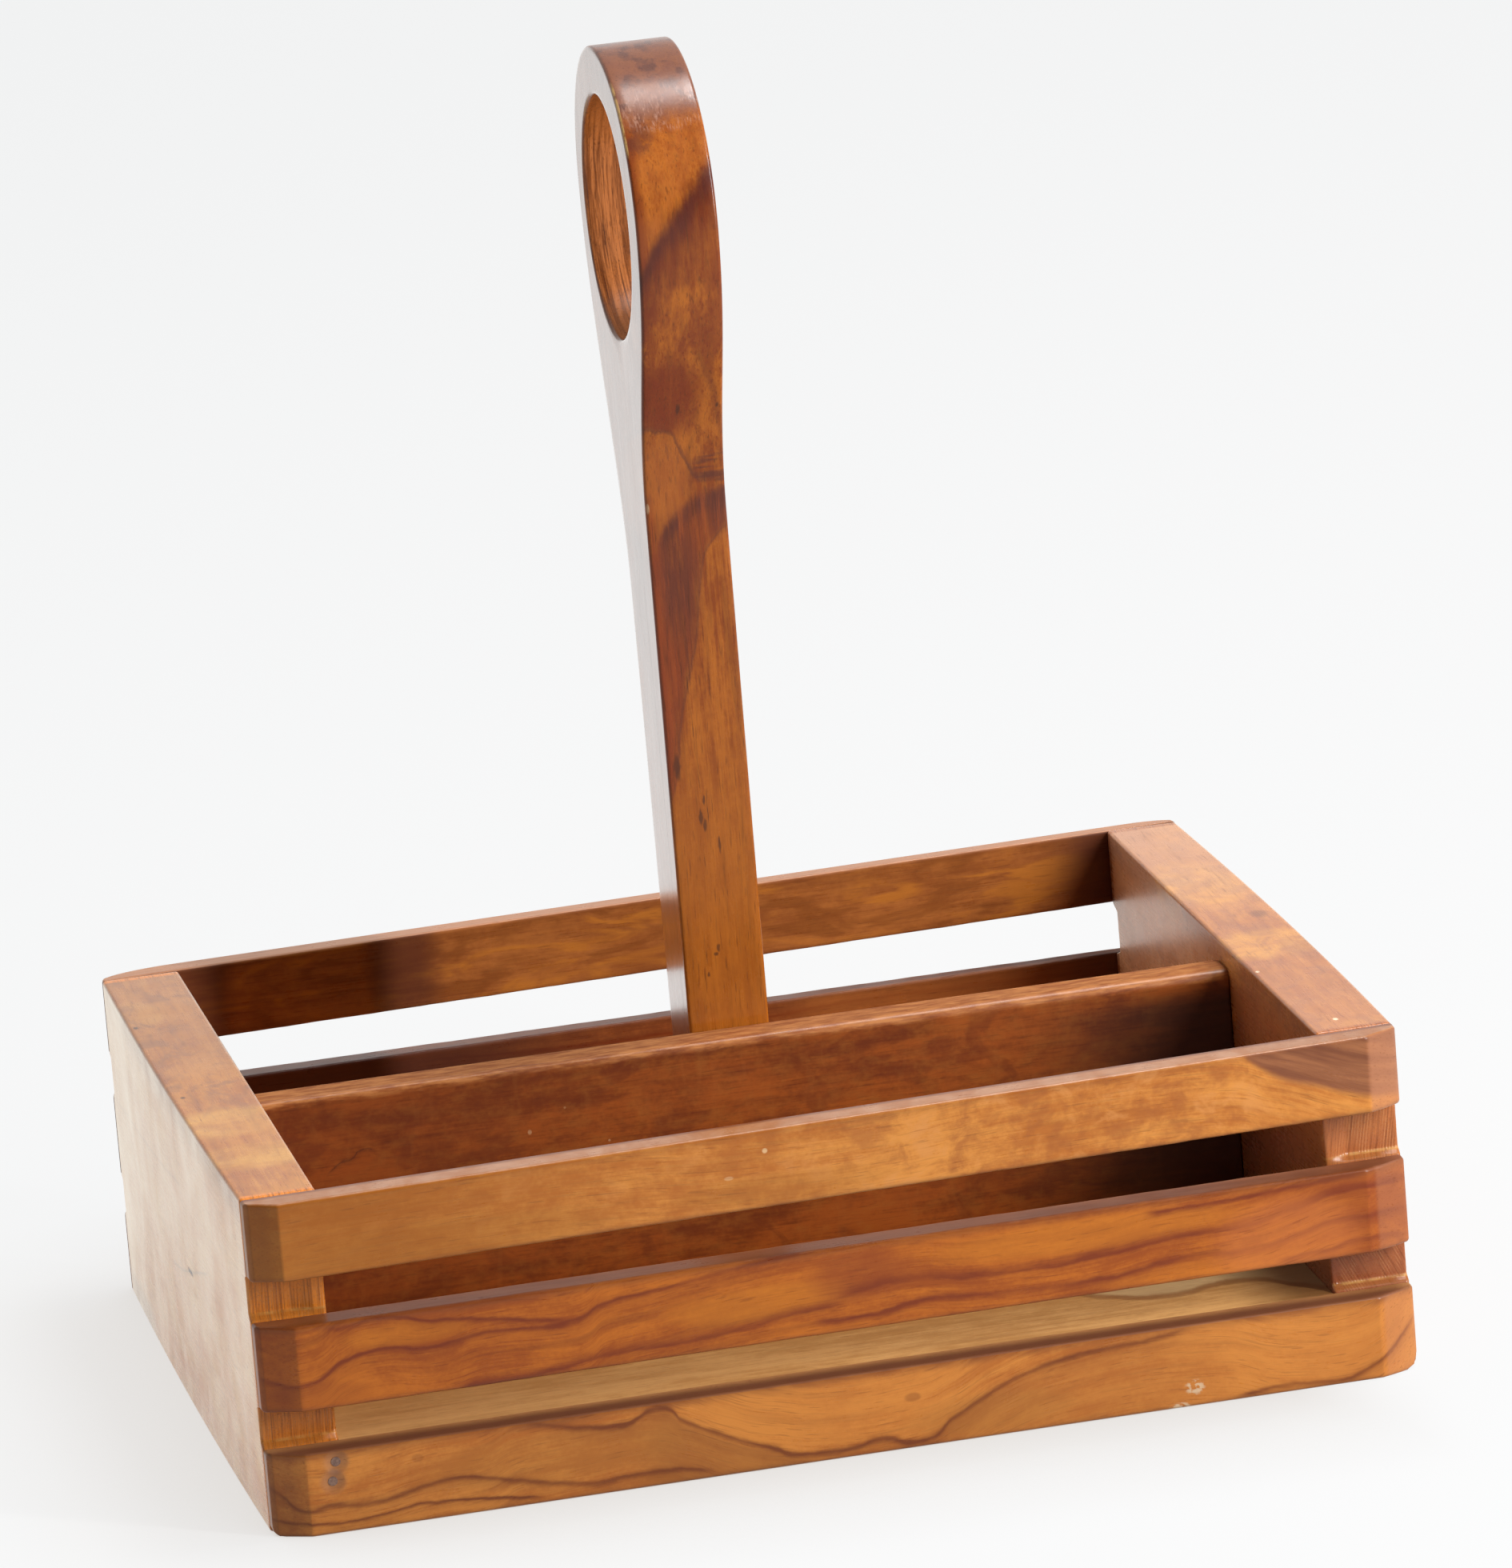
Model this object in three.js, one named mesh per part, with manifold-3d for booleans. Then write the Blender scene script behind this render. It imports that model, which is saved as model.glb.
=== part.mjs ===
// A wooden table caddy: a slatted box of two compartments with a tall carrying handle.
// Millimetres. X runs left to right, Y from front to back, Z up.
// The origin is on the table, under the middle of the box.

import * as THREE from 'three';
import { mergeVertices } from 'three/addons/utils/BufferGeometryUtils.js';
import Module from 'manifold-3d';

const manifold = await Module();
manifold.setup();

// The box
const innerLength = 200; // clear length between the two end blocks
const bodyWidth = 172; // front face to back face
const blockThickness = 16.4; // end block at the middle of its bowed outer face
// Outer faces of the blocks, bowed by hand: how far they fall away half a width from the crown
const bow = { left: { fall: 1, crownY: 25 }, right: { fall: 1.3, crownY: -10 } };
const frontSlatThickness = 6.4;
const rearSlatThickness = 5.8;
const arris = 0.6; // sanded break along the long edges
const glueLine = 0.1; // between two pieces that are glued face to face
const rearSkew = 2.4; // the back of the box runs this much forward at its right end
const lean = 0.6; // the right end stands this much farther out at the table than at its top

// The slats of one side, bottom to top, and the slots that the saw left between them.
// The slots open out toward the right, so the box stands taller at that end.
const lowerSlatWidth = 17;
const lowerSlot = { left: 8.5, right: 9.1 };
const middleSlatWidth = 17.4;
const upperSlot = { left: 9.2, right: 11.2 };
const upperSlatWidth = 15.8;

// The corners, sanded slat by slat after the box was glued up
const frontFacet = {
  setback: 4,
  lower: { left: 7.1, right: 7.6 },
  middle: { left: 7.3, right: 8.6 },
  upper: { left: 6.1, right: 7 },
};
const cornerEase = 0.12; // share of a facet that is rounded over toward the end of the box
const rearRound = { run: { left: 16, right: 10 }, steps: 6 };

// The saw ran on through the slats and nicked the ends of the blocks
const nickDepth = { front: 1.5, rearLeft: 1.5, rearRight: 3.4 };
const nickLedge = 1.2; // rise of the sloping ledge at the bottom of a nick
const nickBrow = { left: 0.3, right: 1 }; // drop of the slope at its top
const nickLand = { left: 2.5, right: 0.9 }; // left uncut beside the front upper nick

// Inside the box
const baseThickness = 10;
const baseDrop = 0.4; // top of the base panel below the top of the lower slats
const dividerThickness = 8;
const dividerTop = 66.1;
const dividerBack = -7.2; // its back face, which the handle stands against
const dividerWear = { width: 2.6, drop: 2.6, knee: 0.33 }; // its worn front arris

// The carrying handle, a flat paddle across the box
const handleThickness = 16.4;
const handleOffset = -2; // middle of its thickness, left of the middle of the box
const handleHeight = 264.4; // table to the top of the head
const handleArris = 0.6;
const stem = { footWidth: 16.4, neckWidth: 24, neckDrop: 92.4, frontLean: 1.9 };
const stemBack = { inset: 1.5, below: 18 }; // where the straight back edge begins to swell
const head = { width: 56.6, centreY: 9.4, rise: 29.4, crownShift: 2.5, frontDrop: 4 };
const swell = { back: [0.2, 0.95], front: [0.75, 0.9] }; // pull of the curves, neck and head
const eye = { width: 41.6, height: 48.8, centreY: 10.6, drop: 34, lean: 6 };
const housingDepth = 4; // foot let into the base panel
const housingClearance = 0.2;

// Fixings
const screw = { length: 34, shank: 2, head: 4, headHeight: 2.6, tip: 4 };
const brad = { length: 19, shank: 0.6, head: 0.95, headHeight: 0.7, tip: 3, sunk: 0.3 };
const bradPlaces = { upper: { inset: 14.5, z: 14.6 }, lower: { inset: 13.6, z: 10.7 } };
const boreClearance = 0.15;

// Fineness of the surfaces, and how far a cutting body stands out of what it cuts
const roundSides = 16;
const curveSides = 24;
const bowSteps = 14;
const proud = 1;

// Values that follow from the sizes above
const innerHalf = innerLength / 2;
const halfWidth = bodyWidth / 2;
const outerHalf = innerHalf + blockThickness;
const frontInside = -halfWidth + frontSlatThickness;
const rearInside = halfWidth - rearSlatThickness;
const baseTop = lowerSlatWidth - baseDrop;
const baseBottom = baseTop - baseThickness;
const degree = Math.PI / 180;

// Heights of the saw lines, each a straight line from the left block to the right one
function sawLine(left, right) {
  return { left, right, at: (x) => left + (right - left) * (x + innerHalf) / innerLength };
}

function above(line, gap) {
  return sawLine(line.left + (gap.left ?? gap), line.right + (gap.right ?? gap));
}

const tableLine = sawLine(0, 0);
const lowerSlatTop = above(tableLine, lowerSlatWidth);
const middleSlatBottom = above(lowerSlatTop, lowerSlot);
const middleSlatTop = above(middleSlatBottom, middleSlatWidth);
const upperSlatBottom = above(middleSlatTop, upperSlot);
const boxTop = above(upperSlatBottom, upperSlatWidth);

const slatLevels = {
  lower: { bottom: tableLine, top: lowerSlatTop },
  middle: { bottom: middleSlatBottom, top: middleSlatTop },
  upper: { bottom: upperSlatBottom, top: boxTop },
};

// Outer face of the left (-1) or right (1) end, bowed in plan: its X at a given Y
function bowedFace(side, y) {
  const { fall, crownY } = side < 0 ? bow.left : bow.right;
  return side * (outerHalf - fall * ((y - crownY) / halfWidth) ** 2);
}

function toSolid(geometry) {
  geometry.deleteAttribute('normal');
  geometry.deleteAttribute('uv');
  const merged = mergeVertices(geometry, 1e-4);
  return new manifold.Manifold(new manifold.Mesh({
    numProp: 3,
    vertProperties: new Float32Array(merged.attributes.position.array),
    triVerts: new Uint32Array(merged.index.array),
  }));
}

function toGeometry(solid) {
  const mesh = solid.getMesh();
  const geometry = new THREE.BufferGeometry();
  geometry.setAttribute('position', new THREE.BufferAttribute(mesh.vertProperties, 3));
  geometry.setIndex(new THREE.BufferAttribute(mesh.triVerts, 1));
  geometry.computeVertexNormals();
  return geometry;
}

function polygon(points) {
  return new THREE.Shape(points.map(([x, y]) => new THREE.Vector2(x, y)));
}

// A prism over an outline in plan, from one height to another, with broken arrises
function standing(shape, bottom, top, bevel = 0) {
  const geometry = new THREE.ExtrudeGeometry(shape, {
    depth: top - bottom - 2 * bevel,
    bevelEnabled: bevel > 0,
    bevelThickness: bevel,
    bevelSize: bevel,
    bevelOffset: -bevel,
    bevelSegments: 2,
    curveSegments: curveSides,
  });
  return geometry.translate(0, 0, bottom + bevel);
}

// A prism over an outline in X and Z, from one Y to another
function frontView(shape, front, back, bevel = 0) {
  const geometry = standing(shape, -back, -front, bevel);
  return geometry.rotateX(Math.PI / 2);
}

// A prism over an outline in Y and Z, from one X to another
function sideView(shape, left, right, bevel = 0) {
  const geometry = standing(shape, left, right, bevel);
  return geometry.rotateX(Math.PI / 2).rotateZ(Math.PI / 2);
}

function boxBetween(low, high) {
  const size = high.map((value, axis) => value - low[axis]);
  const middle = high.map((value, axis) => (value + low[axis]) / 2);
  return new THREE.BoxGeometry(...size).translate(...middle);
}

// What the saw took out of one end of a block, where a slot runs out over it
function nick(side, slot, end) {
  const floor = slot.floor.at(side * innerHalf);
  const roof = slot.roof.at(side * innerHalf);
  const brow = side < 0 ? nickBrow.left : nickBrow.right;
  const outside = end.y - end.inward * proud;
  const bottom = end.y + end.inward * end.depth;
  const section = polygon([
    [outside, floor],
    [end.y, floor],
    [bottom, floor + nickLedge],
    [bottom, roof - brow],
    [end.y, roof],
    [outside, roof],
  ]);
  const land = slot.landed && end.inward > 0 ? (side < 0 ? nickLand.left : nickLand.right) : -proud;
  const across = [side * (innerHalf + land), side * (outerHalf + proud)];
  return toSolid(sideView(section, Math.min(...across), Math.max(...across)));
}

// End block: bowed outside, leaning, nicked at both ends
function endBlock(side) {
  const front = frontInside + glueLine;
  const back = rearInside - glueLine;
  const outline = [];
  for (let step = 0; step <= bowSteps; step += 1) {
    const y = front + (back - front) * step / bowSteps;
    outline.push([bowedFace(side, y), y]);
  }
  outline.push([side * innerHalf, back], [side * innerHalf, front]);
  const top = boxTop.at(side * (innerHalf + outerHalf) / 2);
  let block = toSolid(standing(polygon(outline), 0, top, arris));

  const slots = [
    { floor: lowerSlatTop, roof: middleSlatBottom, landed: false },
    { floor: middleSlatTop, roof: upperSlatBottom, landed: true },
  ];
  const ends = [
    { y: front, inward: 1, depth: nickDepth.front },
    { y: back, inward: -1, depth: side < 0 ? nickDepth.rearLeft : nickDepth.rearRight },
  ];
  for (const slot of slots) {
    for (const end of ends) block = block.subtract(nick(side, slot, end));
  }
  return leaning(block, innerHalf);
}

// Move what lies right of a given X outward, most at the table and not at all at the top
function leaning(solid, from) {
  const ramp = blockThickness / 2;
  return solid.warp((vertex) => {
    const share = Math.min(Math.max(1 + (vertex[0] - from) / ramp, 0), 1);
    vertex[0] += lean * share * (1 - vertex[2] / boxTop.right);
  });
}

// Plan the back of the box thinner toward the right, keeping the inner faces where they are
function skewed(solid) {
  return solid.warp((vertex) => {
    const across = (vertex[0] + outerHalf) / (2 * outerHalf);
    vertex[1] -= rearSkew * across * (vertex[1] - rearInside) / rearSlatThickness;
  });
}

// Plan of a front slat: flat corner facets, each eased where it meets the end of the box
function frontSlatPlan(run) {
  const { setback } = frontFacet;
  const turn = -halfWidth + setback;
  const corner = (side, length) => [
    [bowedFace(side, frontInside), frontInside],
    [bowedFace(side, turn), turn],
    [bowedFace(side, turn) - side * length * cornerEase, turn - setback * 2 * cornerEase],
    [bowedFace(side, turn) - side * length, -halfWidth],
  ];
  return polygon([...corner(-1, run.left), ...corner(1, run.right).reverse()]);
}

// Plan of a rear slat: corners rounded over in a quarter of an ellipse
function rearSlatPlan() {
  const corner = (side, run) => {
    const points = [];
    for (let step = 0; step <= rearRound.steps; step += 1) {
      const angle = step / rearRound.steps * Math.PI / 2;
      const inward = run * (1 - Math.cos(angle));
      const y = rearInside + rearSlatThickness * Math.sin(angle);
      points.push([bowedFace(side, rearInside) - side * inward, y]);
    }
    return points;
  };
  return polygon([...corner(1, rearRound.run.right), ...corner(-1, rearRound.run.left).reverse()]);
}

// One slat: its face between two saw lines, cut to the plan of its side
function slat(level, plan, front, back) {
  const reach = outerHalf + proud;
  const face = polygon([
    [-reach, level.bottom.at(-reach)],
    [reach, level.bottom.at(reach)],
    [reach, level.top.at(reach)],
    [-reach, level.top.at(-reach)],
  ]);
  const low = Math.min(level.bottom.at(-reach), level.bottom.at(reach)) - proud;
  const high = Math.max(level.top.at(-reach), level.top.at(reach)) + proud;
  const board = toSolid(frontView(face, front, back, arris));
  return board.intersect(toSolid(standing(plan, low, high)));
}

// Bore of a brad, level with Y, from the front face inward
function bradBore({ inset, z }) {
  const x = inset - outerHalf;
  const shank = brad.shank + boreClearance;
  const mouth = brad.head + boreClearance;
  const bottom = -halfWidth + brad.sunk + brad.length + boreClearance;
  const step = -halfWidth + brad.sunk + brad.headHeight + boreClearance;
  return [[shank, bottom], [mouth, step]].map(([radius, end]) => {
    const start = -halfWidth - proud;
    const bore = new THREE.CylinderGeometry(radius, radius, end - start, roundSides);
    return toSolid(bore.translate(x, (start + end) / 2, z));
  }).reduce((one, other) => one.add(other));
}

function bradBody() {
  const half = Math.PI / 2;
  const profile = [
    [0, 0],
    [brad.head, 0],
    [brad.head, brad.headHeight],
    [brad.shank, brad.headHeight],
    [brad.shank, brad.length - brad.tip],
    [0, brad.length],
  ].map(([r, z]) => new THREE.Vector2(r, z));
  return new THREE.LatheGeometry(profile, roundSides, half, 2 * Math.PI);
}

// Handle outline, seen from the left: front of the box at -Y
function handleOutline() {
  const foot = baseTop - housingDepth + housingClearance;
  const front = dividerBack + glueLine;
  const neckHeight = handleHeight - stem.neckDrop;
  const neckFront = front + stem.frontLean;
  const neckBack = neckFront + stem.neckWidth;
  const centreZ = handleHeight - head.rise;
  const headFront = head.centreY - head.width / 2;
  const headBack = head.centreY + head.width / 2;
  const crown = head.centreY + head.crownShift;
  const flare = (centreZ - neckHeight) / 2;
  const round = 0.5523; // pull of a curve that follows a quarter of an ellipse
  const shape = new THREE.Shape();
  shape.moveTo(front, foot);
  shape.lineTo(front + stem.footWidth, foot);
  shape.lineTo(neckBack - stemBack.inset, neckHeight - stemBack.below);
  shape.bezierCurveTo(
    neckBack, neckHeight + flare * swell.back[0],
    headBack, centreZ - flare * swell.back[1],
    headBack, centreZ);
  shape.bezierCurveTo(
    headBack, centreZ + head.rise * round,
    crown + head.width / 2 * round, handleHeight,
    crown, handleHeight);
  shape.bezierCurveTo(
    crown - head.width / 2 * round, handleHeight,
    headFront, centreZ + head.rise * round,
    headFront, centreZ - head.frontDrop);
  shape.bezierCurveTo(
    headFront, centreZ - flare * swell.front[1],
    neckFront, neckHeight + flare * swell.front[0],
    neckFront, neckHeight);
  shape.lineTo(front, dividerTop);
  shape.closePath();

  const hole = new THREE.Path();
  hole.absellipse(
    eye.centreY, handleHeight - eye.drop, eye.width / 2, eye.height / 2,
    0, 2 * Math.PI, true, -eye.lean * degree);
  shape.holes.push(hole);
  return shape;
}

const footMiddleY = dividerBack + glueLine + stem.footWidth / 2;

// Screw up through the base panel into the foot of the handle
function screwProfile(clearance) {
  return [
    [0, 0],
    [screw.head + clearance, 0],
    [screw.shank + clearance, screw.headHeight],
    [screw.shank + clearance, screw.length - screw.tip],
    [0, screw.length + clearance],
  ].map(([r, z]) => new THREE.Vector2(r, z));
}

function screwBody(clearance = 0) {
  const lathe = new THREE.LatheGeometry(screwProfile(clearance), roundSides);
  return lathe.rotateX(Math.PI / 2).translate(handleOffset, footMiddleY, baseBottom);
}

function carryingHandle() {
  const left = handleOffset - handleThickness / 2;
  const right = handleOffset + handleThickness / 2;
  const paddle = toSolid(sideView(handleOutline(), left, right, handleArris));
  return paddle.subtract(toSolid(screwBody(boreClearance)));
}

function basePanel() {
  const panel = toSolid(boxBetween(
    [-innerHalf + glueLine, frontInside + glueLine, baseBottom],
    [innerHalf - glueLine, rearInside - glueLine, baseTop]));
  const halfThick = handleThickness / 2 + housingClearance;
  const housing = toSolid(boxBetween(
    [handleOffset - halfThick, dividerBack, baseTop - housingDepth],
    [handleOffset + halfThick, dividerBack + stem.footWidth + 2 * housingClearance + glueLine,
      baseTop + proud]));
  const mouth = screw.head + boreClearance;
  const lead = new THREE.CylinderGeometry(mouth, mouth, proud, roundSides);
  lead.rotateX(Math.PI / 2).translate(handleOffset, footMiddleY, baseBottom - proud / 2);
  return leaning(panel, innerHalf - glueLine)
    .subtract(housing)
    .subtract(toSolid(screwBody(boreClearance)))
    .subtract(toSolid(lead));
}

// Divider: a board on edge, its front top arris worn round
function divider() {
  const front = dividerBack - dividerThickness;
  const bottom = baseTop + glueLine;
  const section = polygon([
    [front, bottom],
    [dividerBack, bottom],
    [dividerBack, dividerTop - arris],
    [dividerBack - arris, dividerTop],
    [front + dividerWear.width, dividerTop],
    [front + dividerWear.width * dividerWear.knee, dividerTop - dividerWear.drop * dividerWear.knee],
    [front, dividerTop - dividerWear.drop],
  ]);
  const board = toSolid(sideView(section, -innerHalf + glueLine, innerHalf - glueLine));
  return leaning(board, innerHalf - glueLine);
}

function wood(color, roughness) {
  return new THREE.MeshStandardMaterial({ color, roughness, metalness: 0 });
}

const amber = wood(0xb0682a, 0.35);
const red = wood(0xaa5523, 0.35);
const gold = wood(0xb06e30, 0.35);
const brown = wood(0x78411e, 0.45);
const pale = wood(0xa57d46, 0.5);
const steel = new THREE.MeshStandardMaterial({ color: 0x8c8487, roughness: 0.4, metalness: 1 });

const caddy = new THREE.Group();

function addPiece(name, geometry, material) {
  const mesh = new THREE.Mesh(geometry, material);
  mesh.name = name;
  caddy.add(mesh);
  return mesh;
}

const bores = Object.values(bradPlaces).map(bradBore);
const cutBores = (solid) => bores.reduce((left, bore) => left.subtract(bore), solid);

addPiece('left_end_block', toGeometry(cutBores(endBlock(-1))), amber);
addPiece('right_end_block', toGeometry(endBlock(1)), amber);

const slatWood = { lower: gold, middle: red, upper: amber };
for (const [place, level] of Object.entries(slatLevels)) {
  const plan = frontSlatPlan(frontFacet[place]);
  const front = leaning(slat(level, plan, -halfWidth, frontInside), outerHalf);
  const drilled = place === 'lower' ? cutBores(front) : front;
  addPiece(`front_slat_${place}`, toGeometry(drilled), slatWood[place]);
  const rear = leaning(skewed(slat(level, rearSlatPlan(), rearInside, halfWidth)), outerHalf);
  addPiece(`rear_slat_${place}`, toGeometry(rear), slatWood[place]);
}

addPiece('base_panel', toGeometry(basePanel()), pale);
addPiece('divider', toGeometry(divider()), brown);
addPiece('carrying_handle', toGeometry(carryingHandle()), amber);
addPiece('handle_screw', toGeometry(toSolid(screwBody())), steel);

for (const [place, { inset, z }] of Object.entries(bradPlaces)) {
  const mesh = addPiece(`brad_${place}`, toGeometry(toSolid(bradBody())), steel);
  mesh.position.set(inset - outerHalf, -halfWidth + brad.sunk, z);
}

export default caddy;
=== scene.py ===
# %% [markdown]
# # A wooden table caddy
#
# The real object is a small open box of slats, glued between two thick end blocks, with a tall flat
# handle that ends in an oval hand hole. Everything is one family of warm, lacquered wood, so the lesson
# is mostly about wood: boards with softly sanded arrises, and a finish whose veins, fibres and sheen
# come from nodes. The CAD model is loaded first and stays as it is. Most boards are then replaced by
# finer surfaces of the same size, and the base and the metal fixings stay and get a better material.

import bpy
import numpy as np
from mathutils import Matrix, Vector


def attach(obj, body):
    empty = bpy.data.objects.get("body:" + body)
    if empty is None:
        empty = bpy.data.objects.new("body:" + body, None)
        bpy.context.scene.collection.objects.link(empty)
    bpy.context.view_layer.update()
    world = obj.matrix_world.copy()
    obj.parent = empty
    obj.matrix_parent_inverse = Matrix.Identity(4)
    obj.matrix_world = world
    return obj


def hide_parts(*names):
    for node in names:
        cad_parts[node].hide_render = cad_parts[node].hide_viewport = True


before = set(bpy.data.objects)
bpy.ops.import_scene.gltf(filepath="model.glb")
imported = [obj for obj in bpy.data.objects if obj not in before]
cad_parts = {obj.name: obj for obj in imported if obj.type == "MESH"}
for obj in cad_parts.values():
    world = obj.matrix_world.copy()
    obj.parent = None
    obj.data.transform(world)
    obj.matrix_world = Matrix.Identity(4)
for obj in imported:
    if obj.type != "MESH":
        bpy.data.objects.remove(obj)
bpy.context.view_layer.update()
print("CAD nodes:", sorted(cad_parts))

MM = 0.001  # the lesson thinks in millimetres and the scene in metres

# %% [markdown]
# ## Sizes
#
# The boards are made again from the same numbers as the CAD model. The box was sawn and sanded by hand,
# so the slots open out toward the right, the outer faces bow, and the back is not quite parallel.

# %% The box in numbers, in millimetres
INNER_HALF, HALF_WIDTH, BLOCK = 100.0, 86.0, 16.4
OUTER_HALF = INNER_HALF + BLOCK
FRONT_SLAT, REAR_SLAT, GLUE, ARRIS = 6.4, 5.8, 0.1, 0.7
FRONT_INSIDE = -HALF_WIDTH + FRONT_SLAT
REAR_INSIDE = HALF_WIDTH - REAR_SLAT
REAR_SKEW = 2.4  # the rear slats are thinner by this at the right
LEAN = 0.6  # the right end stands out by this at the table
BOW = {-1: (1.0, 25.0), 1: (1.3, -10.0)}  # how far a block's outer face falls back, and from which y

# Heights of the saw lines at the left block and at the right one
SAW_LINES = {
    "lower": ((0.0, 0.0), (17.0, 17.0)),
    "middle": ((25.5, 26.1), (42.9, 43.5)),
    "upper": ((52.1, 54.7), (67.9, 70.5)),
}
BOX_TOP = SAW_LINES["upper"][1]

# Corner facets of the front slats: run at the left and at the right, all set back by the same amount
FACET_SETBACK, ROUND_OVER = 4.0, (0.0, 0.8)  # the left facets are flat and the right ones rounded over
FACET_RUN = {"lower": (7.1, 7.6), "middle": (7.3, 8.6), "upper": (6.1, 7.0)}
REAR_RUN = (16.0, 10.0)  # the rear slats' rounded corners begin this far from the ends


def between(x, ends):
    """Height of a straight saw line at x: ends[0] at the left block and ends[1] at the right one."""
    return ends[0] + (ends[1] - ends[0]) * (x + INNER_HALF) / (2 * INNER_HALF)


def bowed(side, y):
    """Distance of a block's outer face from the middle: a parabola in y, highest at its crown."""
    fall, crown = BOW[side]
    return OUTER_HALF - fall * ((y - crown) / HALF_WIDTH) ** 2


print("box height at the left and right:", BOX_TOP)

# %% [markdown]
# ## Boards as surfaces
#
# A board could be a cube with a Bevel modifier, but then its facets, nicks and worn places would be
# modelling by hand. Here a board is worked out instead. A closed box surface gets coordinates that
# lie close together where something happens. Every point is then pulled onto rounded arrises by one
# formula, and bending, tapering and sanding are functions that move whole arrays of points.

# %% Coordinates, box surface, rounding
CLOSEST = 0.04  # coordinates that lie nearer than this are made one


def stations(low, high, step, marks=(), radius=ARRIS):
    """Coordinates from low to high, about step apart, close together at both ends and at the marks."""
    edge = radius * np.array([0, 0.12, 0.3, 0.5, 0.72, 1, 1.3])
    middle = np.linspace(low + edge[-1], high - edge[-1], max(int((high - low) / step), 2))
    near = np.array([-0.45, -0.15, 0.15, 0.45])
    extra = [m + near for m in marks if low + radius < m < high - radius]
    values = np.unique(np.round(np.concatenate([low + edge, high - edge, middle, *extra]), 4))
    keep = np.concatenate([[True], np.diff(values) > CLOSEST])
    keep[-1] = True
    return values[keep]


def weld(sheets):
    """Points and quads of several grids, with the points that coincide made one."""
    points, quads, start = [], [], 0
    for grid, flip in sheets:
        rows, columns = grid.shape[:2]
        index = start + np.arange(rows * columns).reshape(rows, columns)
        quad = np.stack([index[:-1, :-1], index[1:, :-1], index[1:, 1:], index[:-1, 1:]], -1)
        quad = quad.reshape(-1, 4)
        quads.append(quad[:, ::-1] if flip else quad)
        points.append(grid.reshape(-1, 3))
        start += rows * columns
    points, quads = np.concatenate(points), np.concatenate(quads)
    _, first, inverse = np.unique(np.round(points, 4), axis=0, return_index=True, return_inverse=True)
    return points[first], inverse.reshape(-1)[quads]


def box_surface(xs, ys, zs):
    """Closed surface of a box on a grid of coordinates: six sheets, welded, their faces pointing out."""
    sheets, axes = [], (xs, ys, zs)
    for axis in range(3):
        u, v = axes[(axis + 1) % 3], axes[(axis + 2) % 3]
        for end in (0, -1):
            points = np.empty((len(u), len(v), 3))
            points[..., axis] = axes[axis][end]
            points[..., (axis + 1) % 3] = u[:, None]
            points[..., (axis + 2) % 3] = v[None, :]
            sheets.append((points, end == 0))
    return weld(sheets)


def rounded(points, low, high, radius=ARRIS):
    """Box with round arrises: a point is put a radius away from the nearest point of a smaller box."""
    inner = np.clip(points, np.array(low) + radius, np.array(high) - radius)
    away = points - inner
    length = np.linalg.norm(away, axis=1, keepdims=True)
    return inner + radius * away / np.maximum(length, 1e-9)


def board(low, high, steps, marks=((), (), ()), radius=ARRIS):
    """A rounded box from corner to corner: its points, with steps and marks along x, y and z, and
    its quads."""
    points, quads = box_surface(*map(stations, low, high, steps, marks))
    return rounded(points, low, high, radius), quads


def pulled(first, second, radius):
    """A corner pulled onto a circle: both distances count outward from the circle's centre, and where
    both are positive and together longer than the radius, both are scaled back to it."""
    length = np.hypot(first, second)
    outside = (first > 0) & (second > 0) & (length > radius)
    share = np.where(outside, radius / np.maximum(length, 1e-6), 1)
    return first * share, second * share


def ripple(t, seed, waves=5, longest=40.0):
    """A hand-made waver between about -1 and 1: a seeded sum of sines, each shorter and smaller."""
    rng = np.random.default_rng(seed)
    total = np.zeros_like(t)
    for wave in range(waves):
        length = longest / 1.7 ** wave
        total += 0.75 ** wave * np.sin(2 * np.pi * (t / length + rng.random()))
    return total / 2.4


print("coordinates across a 6 mm board:", stations(0.0, 6.0, 2.0))

# %% Put a surface into the scene
SHARP_ANGLE = np.radians(40)  # edges that turn by more than this stay sharp


def add_piece(name, points, quads, finish, slot, node):
    """A mesh piece in metres that rides on the body and stands for one CAD node."""
    mesh = bpy.data.meshes.new(name)
    mesh.from_pydata(points * MM, [], quads)
    mesh.shade_smooth()
    mesh.set_sharp_from_angle(angle=SHARP_ANGLE)
    mesh.materials.append(finish)
    mesh.validate()
    piece = bpy.data.objects.new(name, mesh)
    bpy.context.scene.collection.objects.link(piece)
    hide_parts(node)
    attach(piece, "root")
    print(f"{name}: {len(points)} points, {len(quads)} faces")


print("edges stay sharp above", round(np.degrees(SHARP_ANGLE)), "degrees")

# %% [markdown]
# ## Camera
#
# The photograph was taken from far away with a long lens, from the left of the box and a little above.
# The camera's axes are written as plain vectors, because the picture is also turned a few degrees.

# %% Camera at the photograph's angle
IMAGE_HEIGHT, FOCAL_PIXELS, SENSOR = 1960, 12000.0, 36.0
YAW, PITCH, ROLL = np.radians([11.659, 15.464, 4.514])
CAMERA_PLACE = np.array([-366.49, -1818.41, 627.34])

forward = np.array([np.sin(YAW) * np.cos(PITCH), np.cos(YAW) * np.cos(PITCH), -np.sin(PITCH)])
level_right = np.array([np.cos(YAW), -np.sin(YAW), 0.0])
level_down = np.cross(forward, level_right)
image_right = np.cos(ROLL) * level_right + np.sin(ROLL) * level_down
image_down = np.cos(ROLL) * level_down - np.sin(ROLL) * level_right

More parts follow.
